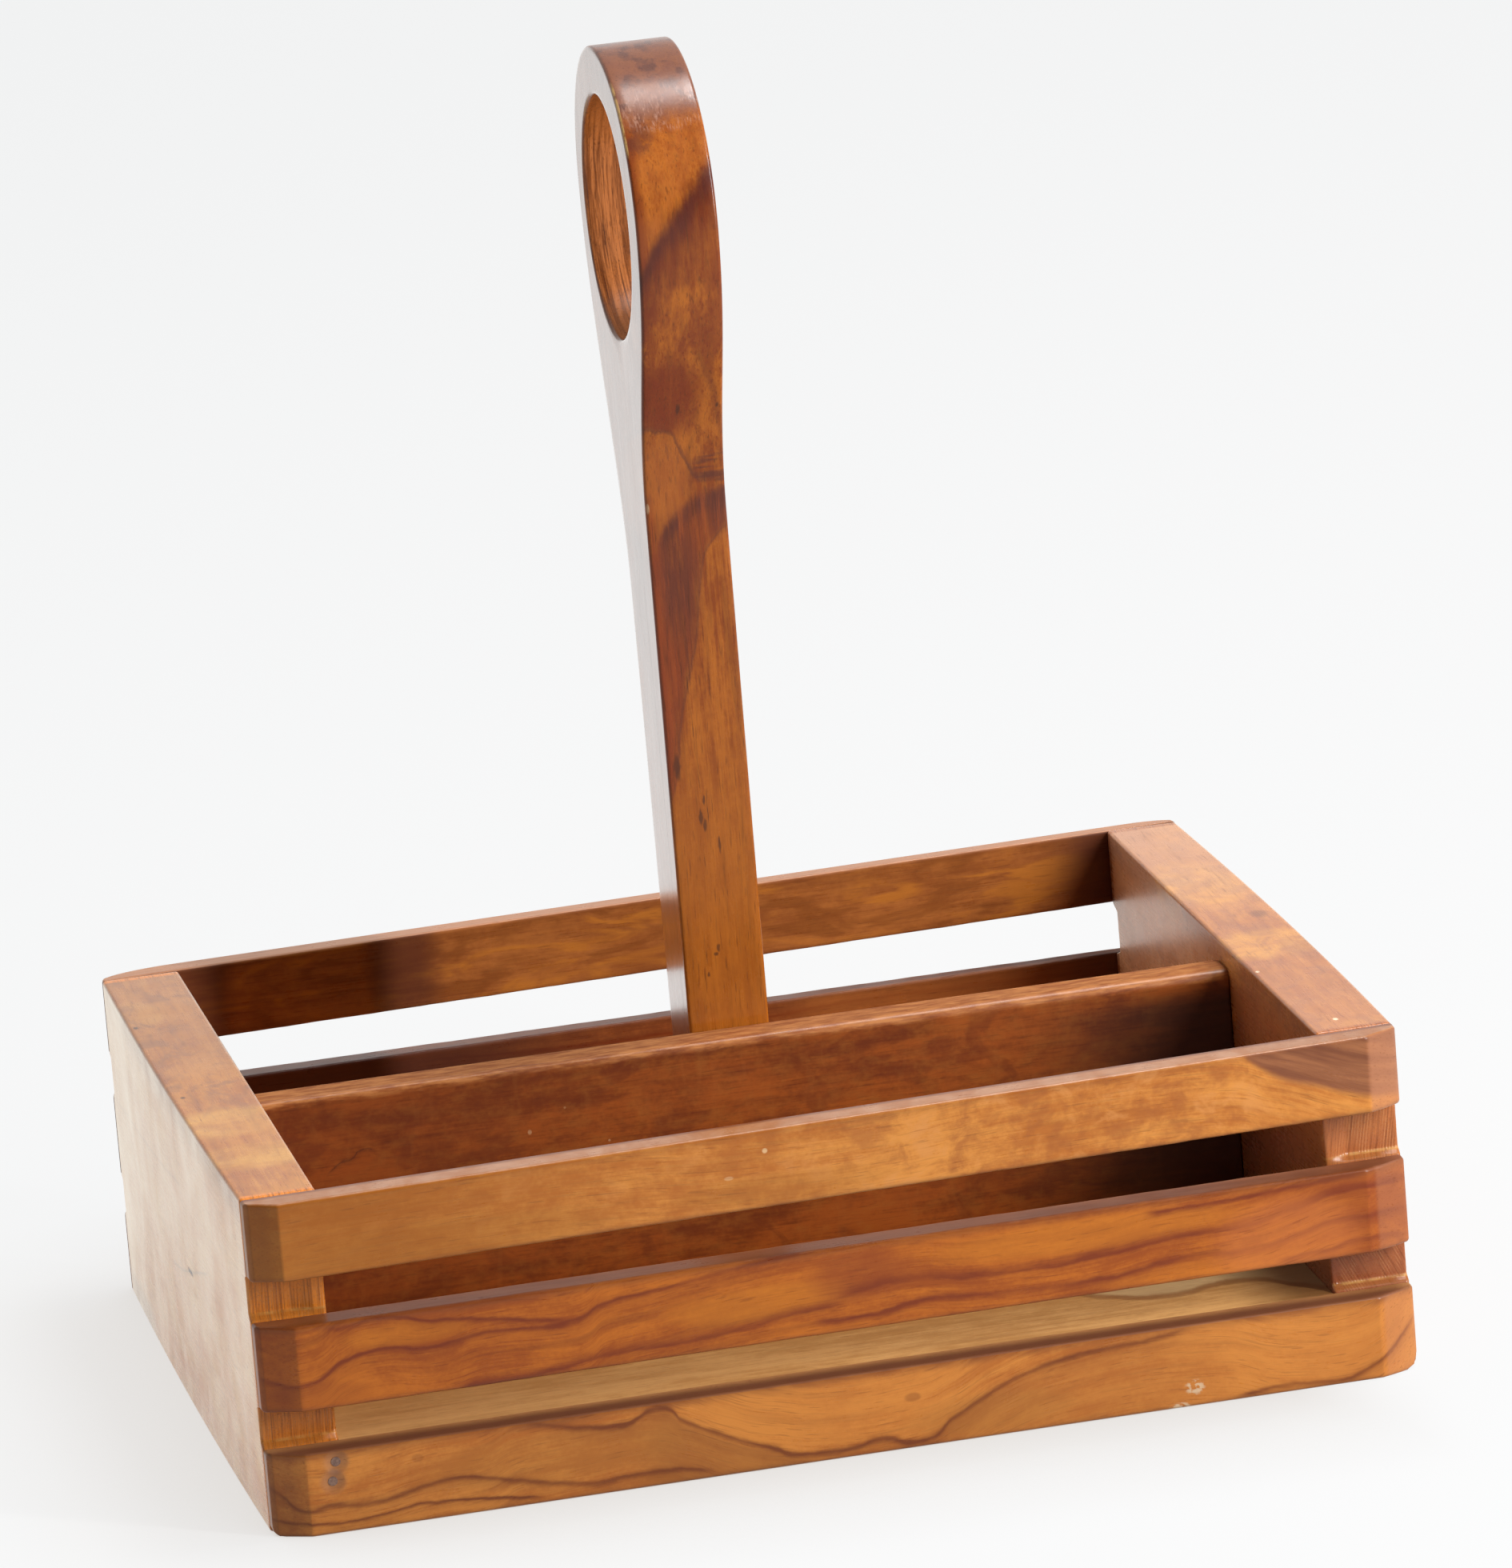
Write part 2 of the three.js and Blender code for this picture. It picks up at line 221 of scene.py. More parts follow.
camera_data = bpy.data.cameras.new("camera")
camera_data.sensor_width = SENSOR
camera_data.lens = SENSOR * FOCAL_PIXELS / IMAGE_HEIGHT
camera_data.clip_end = 60
camera = bpy.data.objects.new("camera", camera_data)
bpy.context.scene.collection.objects.link(camera)
turn = np.column_stack([image_right, -image_down, -forward])
camera.matrix_world = Matrix.Translation(Vector(CAMERA_PLACE * MM)) @ Matrix(turn.tolist()).to_4x4()
bpy.context.scene.camera = camera
print(f"lens {camera_data.lens:.1f} mm")

# %% [markdown]
# ## Shader sums as Python
#
# Wood needs many small sums of noise, and a long list of Math nodes is hard to read. So one small class
# wraps a socket, and + - * / on it add the Math nodes. It also has soft steps, and `lay`, which lays a
# stain over a colour. A second class holds the nodes of one material, and a single method of it makes
# any node: its kind, its settings, and then its inputs.

# %% Signal


def tone(red, green, blue):
    """A screen colour from 0 to 255 as linear light with alpha, as colour sockets want it."""
    screen = np.array([red, green, blue]) / 255
    linear = np.where(screen <= 0.04045, screen / 12.92, ((screen + 0.055) / 1.055) ** 2.4)
    return (*linear.tolist(), 1.0)


class Signal:
    """One output of a node that can be used in sums."""

    def __init__(self, paint, socket):
        self.paint, self.socket = paint, socket

    def __add__(self, other):
        return self.paint.math("ADD", self, other)

    def __sub__(self, other):
        return self.paint.math("SUBTRACT", self, other)

    def __rsub__(self, other):
        return self.paint.math("SUBTRACT", other, self)

    def __mul__(self, other):
        return self.paint.math("MULTIPLY", self, other)

    def __truediv__(self, other):
        return self.paint.math("DIVIDE", self, other)

    def __rtruediv__(self, other):
        return self.paint.math("DIVIDE", other, self)

    def __neg__(self):
        return self.paint.math("MULTIPLY", self, -1)

    def __abs__(self):
        return self.paint.math("ABSOLUTE", self)

    __radd__, __rmul__ = __add__, __mul__

    def at_most(self, limit):
        return self.paint.math("MINIMUM", self, limit)

    def at_least(self, limit):
        return self.paint.math("MAXIMUM", self, limit)

    def rise(self, low, high):
        """0 below low, 1 above high, and a soft step between."""
        return self.paint.node(
            "ShaderNodeMapRange", {"interpolation_type": "SMOOTHSTEP"},
            {"Value": self, "From Min": low, "From Max": high})

    def fall(self, low, high):
        """1 below low, 0 above high, and a soft step between."""
        return 1 - self.rise(low, high)

    def band(self, low, start, end, high):
        """1 from start to end, with soft steps from low up to it and down from it to high."""
        return self.rise(low, start) * self.fall(end, high)

    def lay(self, mask, *stain):
        """This colour under a stain that shows as much as the mask says. The stain is a screen
        colour in three numbers, or another signal."""
        return self.paint.mix(mask, self, stain if len(stain) == 3 else stain[0])


print("middle grey on the screen is", round(tone(128, 128, 128)[0], 3), "in linear light")

# %% Paint
VEIN_SPREAD = 1.2  # a drawn vein is this much wider than its listed half widths


class Paint:
    """The nodes of one material, or of the world."""

    def __init__(self, owner):
        owner.use_nodes = True
        self.owner, self.tree, self.fibres = owner, owner.node_tree, None
        self.tree.nodes.clear()

    def node(self, kind, settings=None, inputs=None, output=0):
        """Make a node. Its settings are attributes, or the points of its curve, and are set first."""
        node = self.tree.nodes.new(kind)
        for name, value in (settings or {}).items():
            if name == "points":
                curve = node.mapping.curves[0]
                curve.points[0].location, curve.points[1].location = value[0], value[-1]
                for x, y in value[1:-1]:
                    curve.points.new(x, y)
                node.mapping.update()
            else:
                setattr(node, name, value)
        for name, value in (inputs or {}).items():
            if isinstance(value, Signal):
                self.tree.links.new(value.socket, node.inputs[name])
            else:
                node.inputs[name].default_value = value
        return Signal(self, node.outputs[output]) if len(node.outputs) else node

    def math(self, operation, *values):
        return self.node("ShaderNodeMath", {"operation": operation}, dict(enumerate(values)))

    def mix(self, factor, first, second):
        """Mix two colours. Three numbers are a screen colour, and four are linear light."""
        pair = [tone(*c) if isinstance(c, tuple) and len(c) == 3 else c for c in (first, second)]
        return self.node(
            "ShaderNodeMix", {"data_type": "RGBA"}, {0: factor, 6: pair[0], 7: pair[1]}, output=2)

    def place(self):
        """The point's x, y and z in millimetres."""
        place = self.node("ShaderNodeTexCoord", output="Object")
        return [self.node("ShaderNodeSeparateXYZ", None, {"Vector": place}, output=axis) * (1 / MM)
                for axis in range(3)]

    def bend(self, points):
        """From here on noise is read from wood whose fibres are shifted in z, by a curve along x."""
        x, y, z = self.place()
        moved = self.node("ShaderNodeCombineXYZ", None, {0: x, 1: y, 2: z - self.level(x, points)})
        self.fibres = self.node("ShaderNodeMapping", None, {"Vector": moved, "Scale": (MM, MM, MM)})

    def noise(self, size, seed, detail=2, rough=0.5, warp=0):
        """Noise from 0 to 1 whose features measure size millimetres along x, y and z."""
        moved = self.node("ShaderNodeMapping", None, {
            "Vector": self.fibres or self.node("ShaderNodeTexCoord", output="Object"),
            "Location": (seed * 7.3, seed * 3.1, seed * 5.7),
            "Scale": [1 / (MM * s) for s in size]})
        return self.node("ShaderNodeTexNoise", None, {
            "Vector": moved, "Scale": 1, "Detail": detail, "Roughness": rough, "Distortion": warp})

    def level(self, along, points):
        """A smooth curve drawn through a few (along, across) points, in millimetres."""
        starts, heights = np.array(points, float).T
        low, high = heights.min() - 1, heights.max() + 1
        spots = list(zip((starts - starts[0]) / np.ptp(starts), (heights - low) / (high - low)))
        share = self.node(
            "ShaderNodeMapRange", None,
            {"Value": along, "From Min": starts[0], "From Max": starts[-1]})
        return self.node("ShaderNodeFloatCurve", {"points": spots}, {"Value": share}) * (high - low) + low

    def vein(self, along, across, points, above=0.5, below=0.7, halo=2.5, fade=5):
        """A drawn dark line: a narrow core, and under it a wider halo. It fades out at both ends."""
        gap = across - self.level(along, points)
        core = (gap / (VEIN_SPREAD * above)).at_least(gap / (-VEIN_SPREAD * below)).fall(0, 1)
        wide = (gap / (2 * VEIN_SPREAD * above)).at_least(gap / (-VEIN_SPREAD * (below + halo)))
        start, end = points[0][0], points[-1][0]
        return (0.56 * core + 0.38 * wide.fall(-0.2, 1)) * along.band(start, start + fade, end - fade, end)

    def veins(self, along, across, lines):
        """Several veins: each is its points, and then its widths above, below and of its halo."""
        return sum(self.vein(along, across, points, *widths) for points, *widths in lines)

    def spots(self, u, v, *ovals, edge=0.6):
        """Ovals, soft at the edge: centre u and v, half sizes, and a strength where it isn't 1."""
        total = 0
        for centre_u, centre_v, half_u, half_v, *strength in ovals:
            du, dv = (u - centre_u) / half_u, (v - centre_v) / half_v
            oval = (du * du + dv * dv).fall(1 - edge, 1 + edge)
            total = oval * (strength or [1])[0] + total
        return total


print("a vein with half widths of 0.5 and 0.7 mm is", round(VEIN_SPREAD * 1.2, 2), "mm wide")

# %% [markdown]
# ## The wood finish
#
# All boards share one recipe. Broad clouds and a fine streaking along the grain move the colour between
# a deep and a light tone, hair-thin fibres and short pores darken it, and a clear lacquer lies on top.
# What makes one board differ from another, its dark veins and patches, and on some boards painted light
# and shade, is drawn by a small function per board. The lacquer's sheen is uneven, because it was
# brushed on and handled for years.

# %% The wood recipe
GRAIN_STRETCH = 14.0  # how much longer than wide the fibres' features are
LACQUER_INDEX = 1.35  # a thin old lacquer reflects a little less than glass
SHEEN_START, SHEEN_FULL = 0.66, 0.95  # how far a face has to turn away before the lacquer mirrors


def wood(name, light, deep, vein, along=0, seed=1, figure=None, bend=None, rings=0.3,
         grain=1.0, gloss=0.28, wax=0.7, film=(1.0, 1.0, 1.0), film_rough=0.16):
    """Lacquered wood. along is the axis of the fibres, bend is a curve that shifts them, and
    figure(paint, colour, x, y, z) draws the board's own veins and patches. grain is the strength of
    the fibres. wax, film and film_rough are the amount, tint and blur of the sheen seen at a slant.
    gloss, the roughness of the body, and wax may be functions of the paint and the place too."""
    paint = Paint(bpy.data.materials.new(name))
    x, y, z = paint.place()
    if bend:
        paint.bend(bend)

    def grained(width, stretch, number, *more):
        """Noise that is drawn out along the fibres."""
        size = [width, width, width]
        size[along] = width * stretch
        return paint.noise(size, seed + number, *more)

    clouds = grained(15, 2.2, 0, 3)
    streaks = grained(2.2, GRAIN_STRETCH, 1, 4, 0.62, 0.25)
    mottle = grained(3.6, 1.5, 2, 4, 0.66)
    fibres = grained(0.5, 1.8 * GRAIN_STRETCH, 3, 3, 0.62)
    pores = grained(0.4, GRAIN_STRETCH, 4, 1)
    lines = grained(2.6, 1.6 * GRAIN_STRETCH, 5, 3)
    specks = grained(0.8, 1.3, 7, 2, 0.6)

    level = 0.5 + 1.6 * (clouds - 0.5) + 1.3 * grain * (streaks - 0.5) + 0.9 * (mottle - 0.5)
    level = level + 1.3 * grain * (fibres - 0.5) + 0.5 * (specks - 0.5)
    colour = paint.mix(level.rise(0.05, 0.95), deep, light).lay(rings * lines.rise(0.54, 0.72), *vein)
    if figure:
        colour = figure(paint, colour, x, y, z)
    hair = 0.36 * fibres.rise(0.5, 0.78) + 0.3 * pores.rise(0.64, 0.72)
    colour = colour.lay(grain * hair, *vein)

    if callable(gloss):
        gloss = gloss(paint, x, y, z)
    if callable(wax):
        wax = wax(paint, x, y, z)
    worn = paint.noise((6, 6, 6), seed + 6, 4, 0.65)
    height = 0.3 * fibres - 0.3 * pores.rise(0.6, 0.72) + 1.2 * streaks
    bump = paint.node(
        "ShaderNodeBump", None, {"Strength": 0.16, "Distance": 0.03 * MM, "Height": height})
    body = paint.node("ShaderNodeBsdfPrincipled", None, {
        "Base Color": colour, "Roughness": gloss + 0.16 * (worn - 0.5) + 0.1 * (fibres - 0.5),
        "Normal": bump, "IOR": LACQUER_INDEX})
    sheen = paint.node("ShaderNodeBsdfGlossy", None, {"Color": (*film, 1), "Roughness": film_rough})
    facing = paint.node("ShaderNodeLayerWeight", None, {"Blend": 0.5}, output=1)
    shader = paint.node("ShaderNodeMixShader", None, {
        0: facing.rise(SHEEN_START, SHEEN_FULL) * wax, 1: body, 2: sheen})
    paint.node("ShaderNodeOutputMaterial", None, {"Surface": shader})
    print(f"{name}: {len(paint.tree.nodes)} nodes")
    return paint.owner


def wavering(paint, across, seed, amount=1.0):
    """Move a coordinate by a little noise along the board, so that drawn lines are not too clean."""
    return across + amount * (paint.noise((6, 30, 3), seed, 4, 0.6) - 0.5)


# %% [markdown]
# ## Front slats
#
# Three boards with three characters. The top one is golden and blotchy, with a dark band that sweeps in
# at its right end. The middle one is red-brown with long wavy lines. The bottom one is orange with two
# strong veins, one of them a wide arch. The veins are drawn as curves through a few points, and noise
# makes them waver. A figure lays its stains, and painted shade and highlights on the facets, over the
# plain wood one after another, broad ones first.

# %% Bends, veins and stains of the slats
UPPER_BEND = [(-117, 0), (-60, 1.5), (0, -1), (40, 1), (75, 1), (88, -2), (104, -8), (117, -12)]
MIDDLE_BEND = [
    (-117, -3), (-108, -5), (-99, -1.5), (-92, 0), (-81, -1), (-70, 0.5), (-53, 0), (-47, 2.8),
    (-38, 3.7), (-28, 5), (-10, 6.5), (5, 7), (14, 7.4), (27, 6), (50, 6.2), (65, 8), (80, 8.4),
    (92, 10.6), (106, 13), (117, 11.5)]
LOWER_BEND = [
    (-117, 3), (-108, -2), (-97, -1.8), (-84, 0), (-74, 0.5), (-66, 3), (-52, 4), (-42, 4.6),
    (-34, 2.6), (-25, -1.5), (-15, -5), (0, -7), (12, -6.5), (20, -4.5), (30, 0), (46, 3.6),
    (60, 4.6), (75, 3.5), (90, -0.5), (100, -1), (110, 3), (117, 8)]
MIDDLE_VEINS = [
    ([(-117, 33), (-112, 31.6), (-108, 30.8), (-99, 34.5), (-92, 36), (-81, 35), (-70, 36.5),
      (-60, 35.8), (-53, 36), (-47, 38.8), (-38, 39.7), (-28, 41), (-16, 42.6), (-5, 43.4)],
     0.6, 1, 3.2),
    ([(-104, 41.6), (-97, 41.6), (-92, 42.5), (-80, 40.2), (-70, 39), (-60, 37.3), (-53, 36.2)],
     0.6, 0.8, 2),
    ([(-78, 26), (-60, 26.4), (-46, 28.4), (-35, 28.4), (-20, 29.3), (-10, 31), (2, 31.9)],
     1.6, 0.6, 1.4),
    ([(-2, 32.6), (5, 34), (13, 34.6), (25, 33.3), (50, 33.4), (65, 35), (80, 35.4), (92, 37.6),
      (106, 40), (117, 38)], 1.8, 0.7, 2),
    ([(-8, 28.8), (6, 28.5), (14, 29.8), (19, 30.1), (31, 29.3), (52, 29), (70, 31), (79, 30.6),
      (92, 32.2), (106, 34.2), (117, 32)], 0.8, 1.2, 2.2),
    ([(86, 27.4), (97, 28.2), (106, 29.4), (117, 27.5)], 0.6, 1.2, 1.6),
    ([(60, 41), (80, 41.4), (95, 42.3), (108, 43.2)], 0.6, 0.9, 1.6)]
ARCH = [(-66, 17.4), (-58, 15.3), (-52, 14.1), (-45, 13.6), (-42, 14.6), (-38, 15.9), (-34, 13),
        (-25, 8), (-15, 3.9), (-10, 2.1), (0, 2), (6, 3), (12, 1.3), (20, 5), (30, 9.8),
        (36, 12.2), (46, 14.2), (60, 15), (70, 17)]
LOWER_VEINS = [
    ([(-117, 11.5), (-112, 8), (-108, 5.3), (-103, 6), (-97, 5.4), (-84, 7.3), (-79, 7.9),
      (-68, 5.6), (-58, 3.6), (-51, 2.5), (-45, 3), (-34, 2.7), (-26, 0)], 0.6, 0.9, 2.4),
    (ARCH, 0.7, 1, 3),
    ([(76, 0.3), (88, 1.6), (100, 1.2), (106, 3.2), (111, 6.5), (117, 12.5)], 0.6, 0.9, 2.4),
    ([(-117, 6), (-108, 2.6), (-96, 2.4), (-84, 3.6), (-70, 2.4), (-60, 1)], 0.4, 0.6, 1.8)]

BRADS = ((-101.9, 14.6), (-102.8, 10.7))
VEIN_BROWN, VEIN_RED, EDGE_DARK = (106, 48, 18), (112, 42, 16), (96, 52, 30)
# The right facets of the front slats turn toward the light and get this painted highlight, from these x on.
PAINTED_FACET_LIGHT, FACET_START = (172, 116, 84), (108.2, 109.4)


def darker_edges(paint, x, z, place, top, bottom):
    """Mask of a darker strip along the two long edges of a slat, thicker here and thinner there."""
    low, high = (between(x, ends) for ends in SAW_LINES[place])
    thick = 0.9 + 2.6 * paint.noise((14, 30, 30), 31, 3, 0.6)
    near_top, near_bottom = ((high - z) / thick).fall(-0.1, 1), ((z - low) / thick).fall(0, 0.6)
    return (top * near_top).at_least(bottom * near_bottom)


def bare_top(x, z):
    """Mask of the upper slats' top faces, which follow the box's height from left to right."""
    return (z - (69.2 + 0.013 * x)).rise(-0.35, -0.05)


print(len(MIDDLE_VEINS), "veins in the middle slat,", len(LOWER_VEINS), "in the lower one")

# %% Figures of the three front slats


def upper_figure(paint, colour, x, y, z):
    """Golden blotches, the dark band at the right with its own lines, painted shade on the left facet,
    a painted highlight on the right facet, and a rubbed top.
    """
    blotch = paint.noise((6, 9, 5), 41, 4, 0.62, 0.4)
    mottled = 0.45 + 0.55 * x.band(-30, 25, 82, 92)
    olive = paint.spots(x, z, (-75, 56, 30, 4), (-10, 57, 20, 3))
    edge = paint.level(x, [(80, 72), (83, 70), (87, 66.5), (92, 63.6), (99, 61.2), (108, 58), (117, 56.5)])
    inside = wavering(paint, z, 42) - edge
    band = inside.rise(-0.5, 1.6) * x.rise(80, 84)
    lines = paint.noise((26, 20, 2.4), 43, 4, 0.6)
    rubbed = paint.mix(blotch.rise(0.35, 0.65), (172, 124, 92), (160, 102, 60))
    scuffs = paint.spots(x, z, (-13, 64.8, 0.5, 0.5), (-20.5, 60.2, 0.9, 0.4, 0.5))
    return (colour
            .lay(0.6 * mottled * blotch.rise(0.44, 0.68), 152, 84, 38)
            .lay(0.6 * mottled * blotch.fall(0.3, 0.5), 206, 138, 74)
            .lay(0.3 * olive, 158, 100, 36)
            .lay(0.95 * band, paint.mix(lines.rise(0.32, 0.68), (108, 60, 40), (150, 94, 60)))
            .lay(0.4 * band * inside.fall(0.6, 3.2), 122, 68, 44)
            .lay(darker_edges(paint, x, z, "upper", 0.35, 0.5), *EDGE_DARK)
            # painted shade on the left facet, which faces away from the light
            .lay(0.4 * x.fall(-111.5, -109.5), 112, 62, 34)
            .lay(0.62 * x.fall(-100, -34), 152, 84, 16)
            # painted highlight on the right facet
            .lay(0.5 * x.rise(*FACET_START), *PAINTED_FACET_LIGHT)
            .lay(0.9 * bare_top(x, z), rubbed)
            .lay(0.85 * bare_top(x, z) * y.rise(-82, -80.4), 110, 58, 34)
            .lay(0.6 * scuffs, 235, 200, 150))


def middle_figure(paint, colour, x, y, z):
    """Glowing and shaded patches, seven long veins, a painted highlight on the right facet, and dust
    on the top.
    """
    veins = paint.veins(x, wavering(paint, z, 52, 1.5), MIDDLE_VEINS)
    strength = 0.1 + 1.6 * paint.noise((20, 40, 7), 53, 3, 0.6)
    glow = paint.spots(x, z, (-16, 34, 18, 3.6), (50, 38.5, 30, 3.4), (-86, 38.5, 12, 2.4, 0.7),
                       (75, 28, 25, 2, 0.5))
    shade = paint.spots(x, z, (4, 37, 10, 5), (-72, 42.5, 18, 1.8, 0.8), (-104, 28, 10, 3, 0.5))
    shade = shade + 0.8 * x.rise(84, 106) + 0.8 * x.fall(-111, -106)
    dust = (z - (43.2 + 0.003 * x)).rise(-0.4, 0) * y.rise(-86, -84)
    stain = paint.noise((16, 4, 9), 54, 3)
    return (colour
            .lay(0.5 * glow, 192, 114, 30)
            .lay(0.55 * shade, 134, 60, 20)
            .lay((veins * strength).at_most(0.9), *VEIN_RED)
            .lay(0.35 * paint.spots(x, z, (90, 31, 14, 9)), 204, 118, 62)
            .lay(darker_edges(paint, x, z, "middle", 0.6, 0.4), *EDGE_DARK)
            # painted highlight on the right facet
            .lay(0.3 * x.rise(*FACET_START), *PAINTED_FACET_LIGHT)
            .lay(0.9 * dust, paint.mix(stain.rise(0.35, 0.65), (122, 70, 42), (136, 82, 52))))


def lower_figure(paint, colour, x, y, z):
    """Orange wood, browner under the arch and lighter over it, with its veins, brads and a scuff,
    painted shade on the left facet and a painted highlight on the right facet.
    """
    height = wavering(paint, z, 62, 1.3)
    under = paint.level(x, ARCH) - height
    olive = paint.spots(x, z, (-60, 9, 26, 5), (28, 5, 16, 4))
    veins = paint.veins(x, height, LOWER_VEINS) * (0.3 + 1.2 * paint.noise((16, 40, 7), 63, 3, 0.6))
    rim = paint.noise((14, 20, 3), 64, 3).rise(0.44, 0.6) * z.rise(14.6, 17)
    smudge = paint.spots(x, z, (12.5, 10.5, 1.6, 0.9, 0.8), (-86, 13, 1.2, 0.8, 0.6))
    around_brads = paint.spots(x, z, *((*brad, 2.3, 2.3) for brad in BRADS), edge=0.9)
    worn = paint.noise((0.9, 2, 0.7), 65, 3).rise(0.42, 0.6)
    scuff = paint.spots(x, z, (69.3, 4, 1.9, 1.5), (66, 0.4, 2, 0.8))
    return (colour
            .lay(0.6 * under.rise(0, 2) * x.band(-46, -36, -14, -6), 150, 90, 36)
            .lay(0.4 * (-under).rise(0, 1.5) * x.band(-40, -34, 14, 34), 202, 126, 52)
            .lay(0.4 * under.rise(0, 2.5) * x.band(14, 22, 60, 90), 164, 98, 40)
            .lay(0.5 * x.rise(60, 100), 196, 124, 54)
            .lay(0.3 * olive, 160, 104, 42)
            .lay(0.6 * rim, 132, 66, 28)
            # painted shade on the left facet, which faces away from the light
            .lay(0.35 * x.fall(-111.5, -107.5), 118, 66, 34)
            .lay(0.5 * smudge, *VEIN_BROWN)
            .lay(0.55 * around_brads, 134, 98, 76)
            .lay(veins.at_most(0.9), *VEIN_BROWN)
            .lay(darker_edges(paint, x, z, "lower", 0.5, 0.4), *EDGE_DARK)
            # painted highlight on the right facet
            .lay(0.3 * x.rise(*FACET_START), *PAINTED_FACET_LIGHT)
            .lay(0.92 * z.rise(16.4, 16.9), paint.mix(y.rise(-83.9, -80.6), (112, 64, 36), (156, 106, 60)))
            .lay(0.8 * scuff * worn, 206, 178, 144))


def slat_wax(paint, x, y, z):
    """Little sheen on the slats, and more on their left ends, which were polished with the block."""
    return 0.06 + 0.2 * x.fall(-115.9, -115.2)


def slat_gloss(paint, x, y, z):
    """The faces shine softly. The tops of the middle and the lower slat, which gather dust, are matt."""
    return 0.3 + 0.62 * (z.band(43.2, 43.8, 50, 51) + z.band(16.5, 17.1, 20, 21))


SLAT_FILM = {"wax": slat_wax, "film": (1.0, 0.88, 0.7), "film_rough": 0.3, "gloss": slat_gloss}
front_finish = {
    "upper": wood("golden_blotched_wood", (208, 136, 60), (176, 102, 38), (108, 56, 22),
                  seed=4, figure=upper_figure, bend=UPPER_BEND, rings=0.15, **SLAT_FILM),
    "middle": wood("red_lined_wood", (186, 102, 26), (150, 72, 16), (100, 40, 12),
                   seed=9, figure=middle_figure, bend=MIDDLE_BEND, rings=0.35, **SLAT_FILM),
    "lower": wood("orange_veined_wood", (202, 128, 54), (172, 98, 36), (104, 52, 22),
                  seed=14, figure=lower_figure, bend=LOWER_BEND, **SLAT_FILM),
}

# %% Shape of a slat
SLAT_STEPS = (1.6, 0.9, 0.8)
WAVER, SAWN_EDGE = 0.05, 0.8  # the long edges waver this much, except this near to the box's foot and top
FACET_BREAK = (0.12, 0.78)  # a flat facet is steeper up to this share of its run, and down to this depth


def slat_surface(place, low_y, high_y, marks_x=(), marks_z=()):
    """A slat in three steps: a rounded straight board, then its ends follow the bowed blocks,
    then its two long edges follow the saw lines, with a little waver."""
    bottom, top = SAW_LINES[place]
    width = top[0] - bottom[0]
    points, quads = board(
        (-OUTER_HALF, low_y, 0.0), (OUTER_HALF, high_y, width), SLAT_STEPS, (marks_x, (), marks_z))
    x, y, z = points.T
    share = z / width
    end = np.where(x < 0, bowed(-1, y), bowed(1, y)) / OUTER_HALF
    x = x * (1 + (end - 1) * np.clip(np.abs(x) / OUTER_HALF, 0, 1) ** 8)
    height = between(x, bottom) + share * (between(x, top) - between(x, bottom))
    seed = round(width * 100) + round(high_y)
    waver = (1 - share) * ripple(x, seed, longest=24) + share * ripple(x, seed + 1, longest=30)
    height += WAVER * waver * (height > SAWN_EDGE) * (height < between(x, BOX_TOP) - SAWN_EDGE)
    return x, y, height, quads


def leaning(x, z, start):
    """The right end stands out more at the table than at its top: a shift in x that falls with z."""
    share = np.clip(1 + (x - start) / (BLOCK / 2), 0, 1)
    return x + LEAN * share * (1 - z / BOX_TOP[1])


def facet(distance, run, round_over):
    """How far a sanded corner falls back: 1 at the end of the slat, 0 past its run."""
    t = np.clip(distance / run, 0, 1)
    flat = np.interp(t, [0, FACET_BREAK[0], 1], [1, FACET_BREAK[1], 0])
    curved = 0.72 * (1 - t) + 0.28 * (1 - t) ** 2
    return (1 - round_over) * flat + round_over * curved


print("a facet falls back by", [round(float(FACET_SETBACK * facet(d, 7, 0)), 2) for d in (0, 2, 5, 7)])

# %% Front slats, with the dimples over the brads
FOOT_ROUND, FOOT_INSET = 2.6, 1.2  # the lower corners of the lower slat are rounded off
DIMPLE_DEPTH, DIMPLE_RADIUS, DIMPLE_SLOPE = 0.42, 2.4, 1.5
DIMPLE_MARKS = np.arange(-104.6, -100.0, 0.6), np.arange(9.2, 16.2, 0.6)
FACET_END = 115.9  # the facets' runs are counted from here

for place, (left_run, right_run) in FACET_RUN.items():
    marks = [FACET_BREAK[0] * left_run - OUTER_HALF, left_run - FACET_END, FACET_END - right_run]
    marks_z = []
    if place == "lower":
        marks, marks_z = [*marks, *DIMPLE_MARKS[0]], DIMPLE_MARKS[1]
    x, y, z, quads = slat_surface(place, -HALF_WIDTH, FRONT_INSIDE, marks, marks_z)
    outward = np.clip((FRONT_INSIDE - y) / FRONT_SLAT, 0, 1)
    left = facet(bowed(-1, y) + x, left_run, ROUND_OVER[0])
    right = facet(bowed(1, y) - x, right_run, ROUND_OVER[1])
    y = y + FACET_SETBACK * np.where(x < 0, left, right) * outward
    if place == "lower":
        for brad_x, brad_z in BRADS:
            radius = np.hypot(x - brad_x, z - brad_z)
            y += DIMPLE_DEPTH * np.clip((DIMPLE_RADIUS - radius) / DIMPLE_SLOPE, 0, 1) * (outward > 0.5)
        centre = OUTER_HALF - FOOT_INSET - FOOT_ROUND
        out, low = pulled(np.abs(x) - centre, FOOT_ROUND - z, FOOT_ROUND)
        x, z = np.sign(x) * (centre + out), FOOT_ROUND - low
    x = leaning(x, z, OUTER_HALF)
    add_piece(f"front_slat_{place}_wood", np.column_stack([x, y, z]), quads,
              front_finish[place], f"{place}_slat_wood", f"front_slat_{place}")

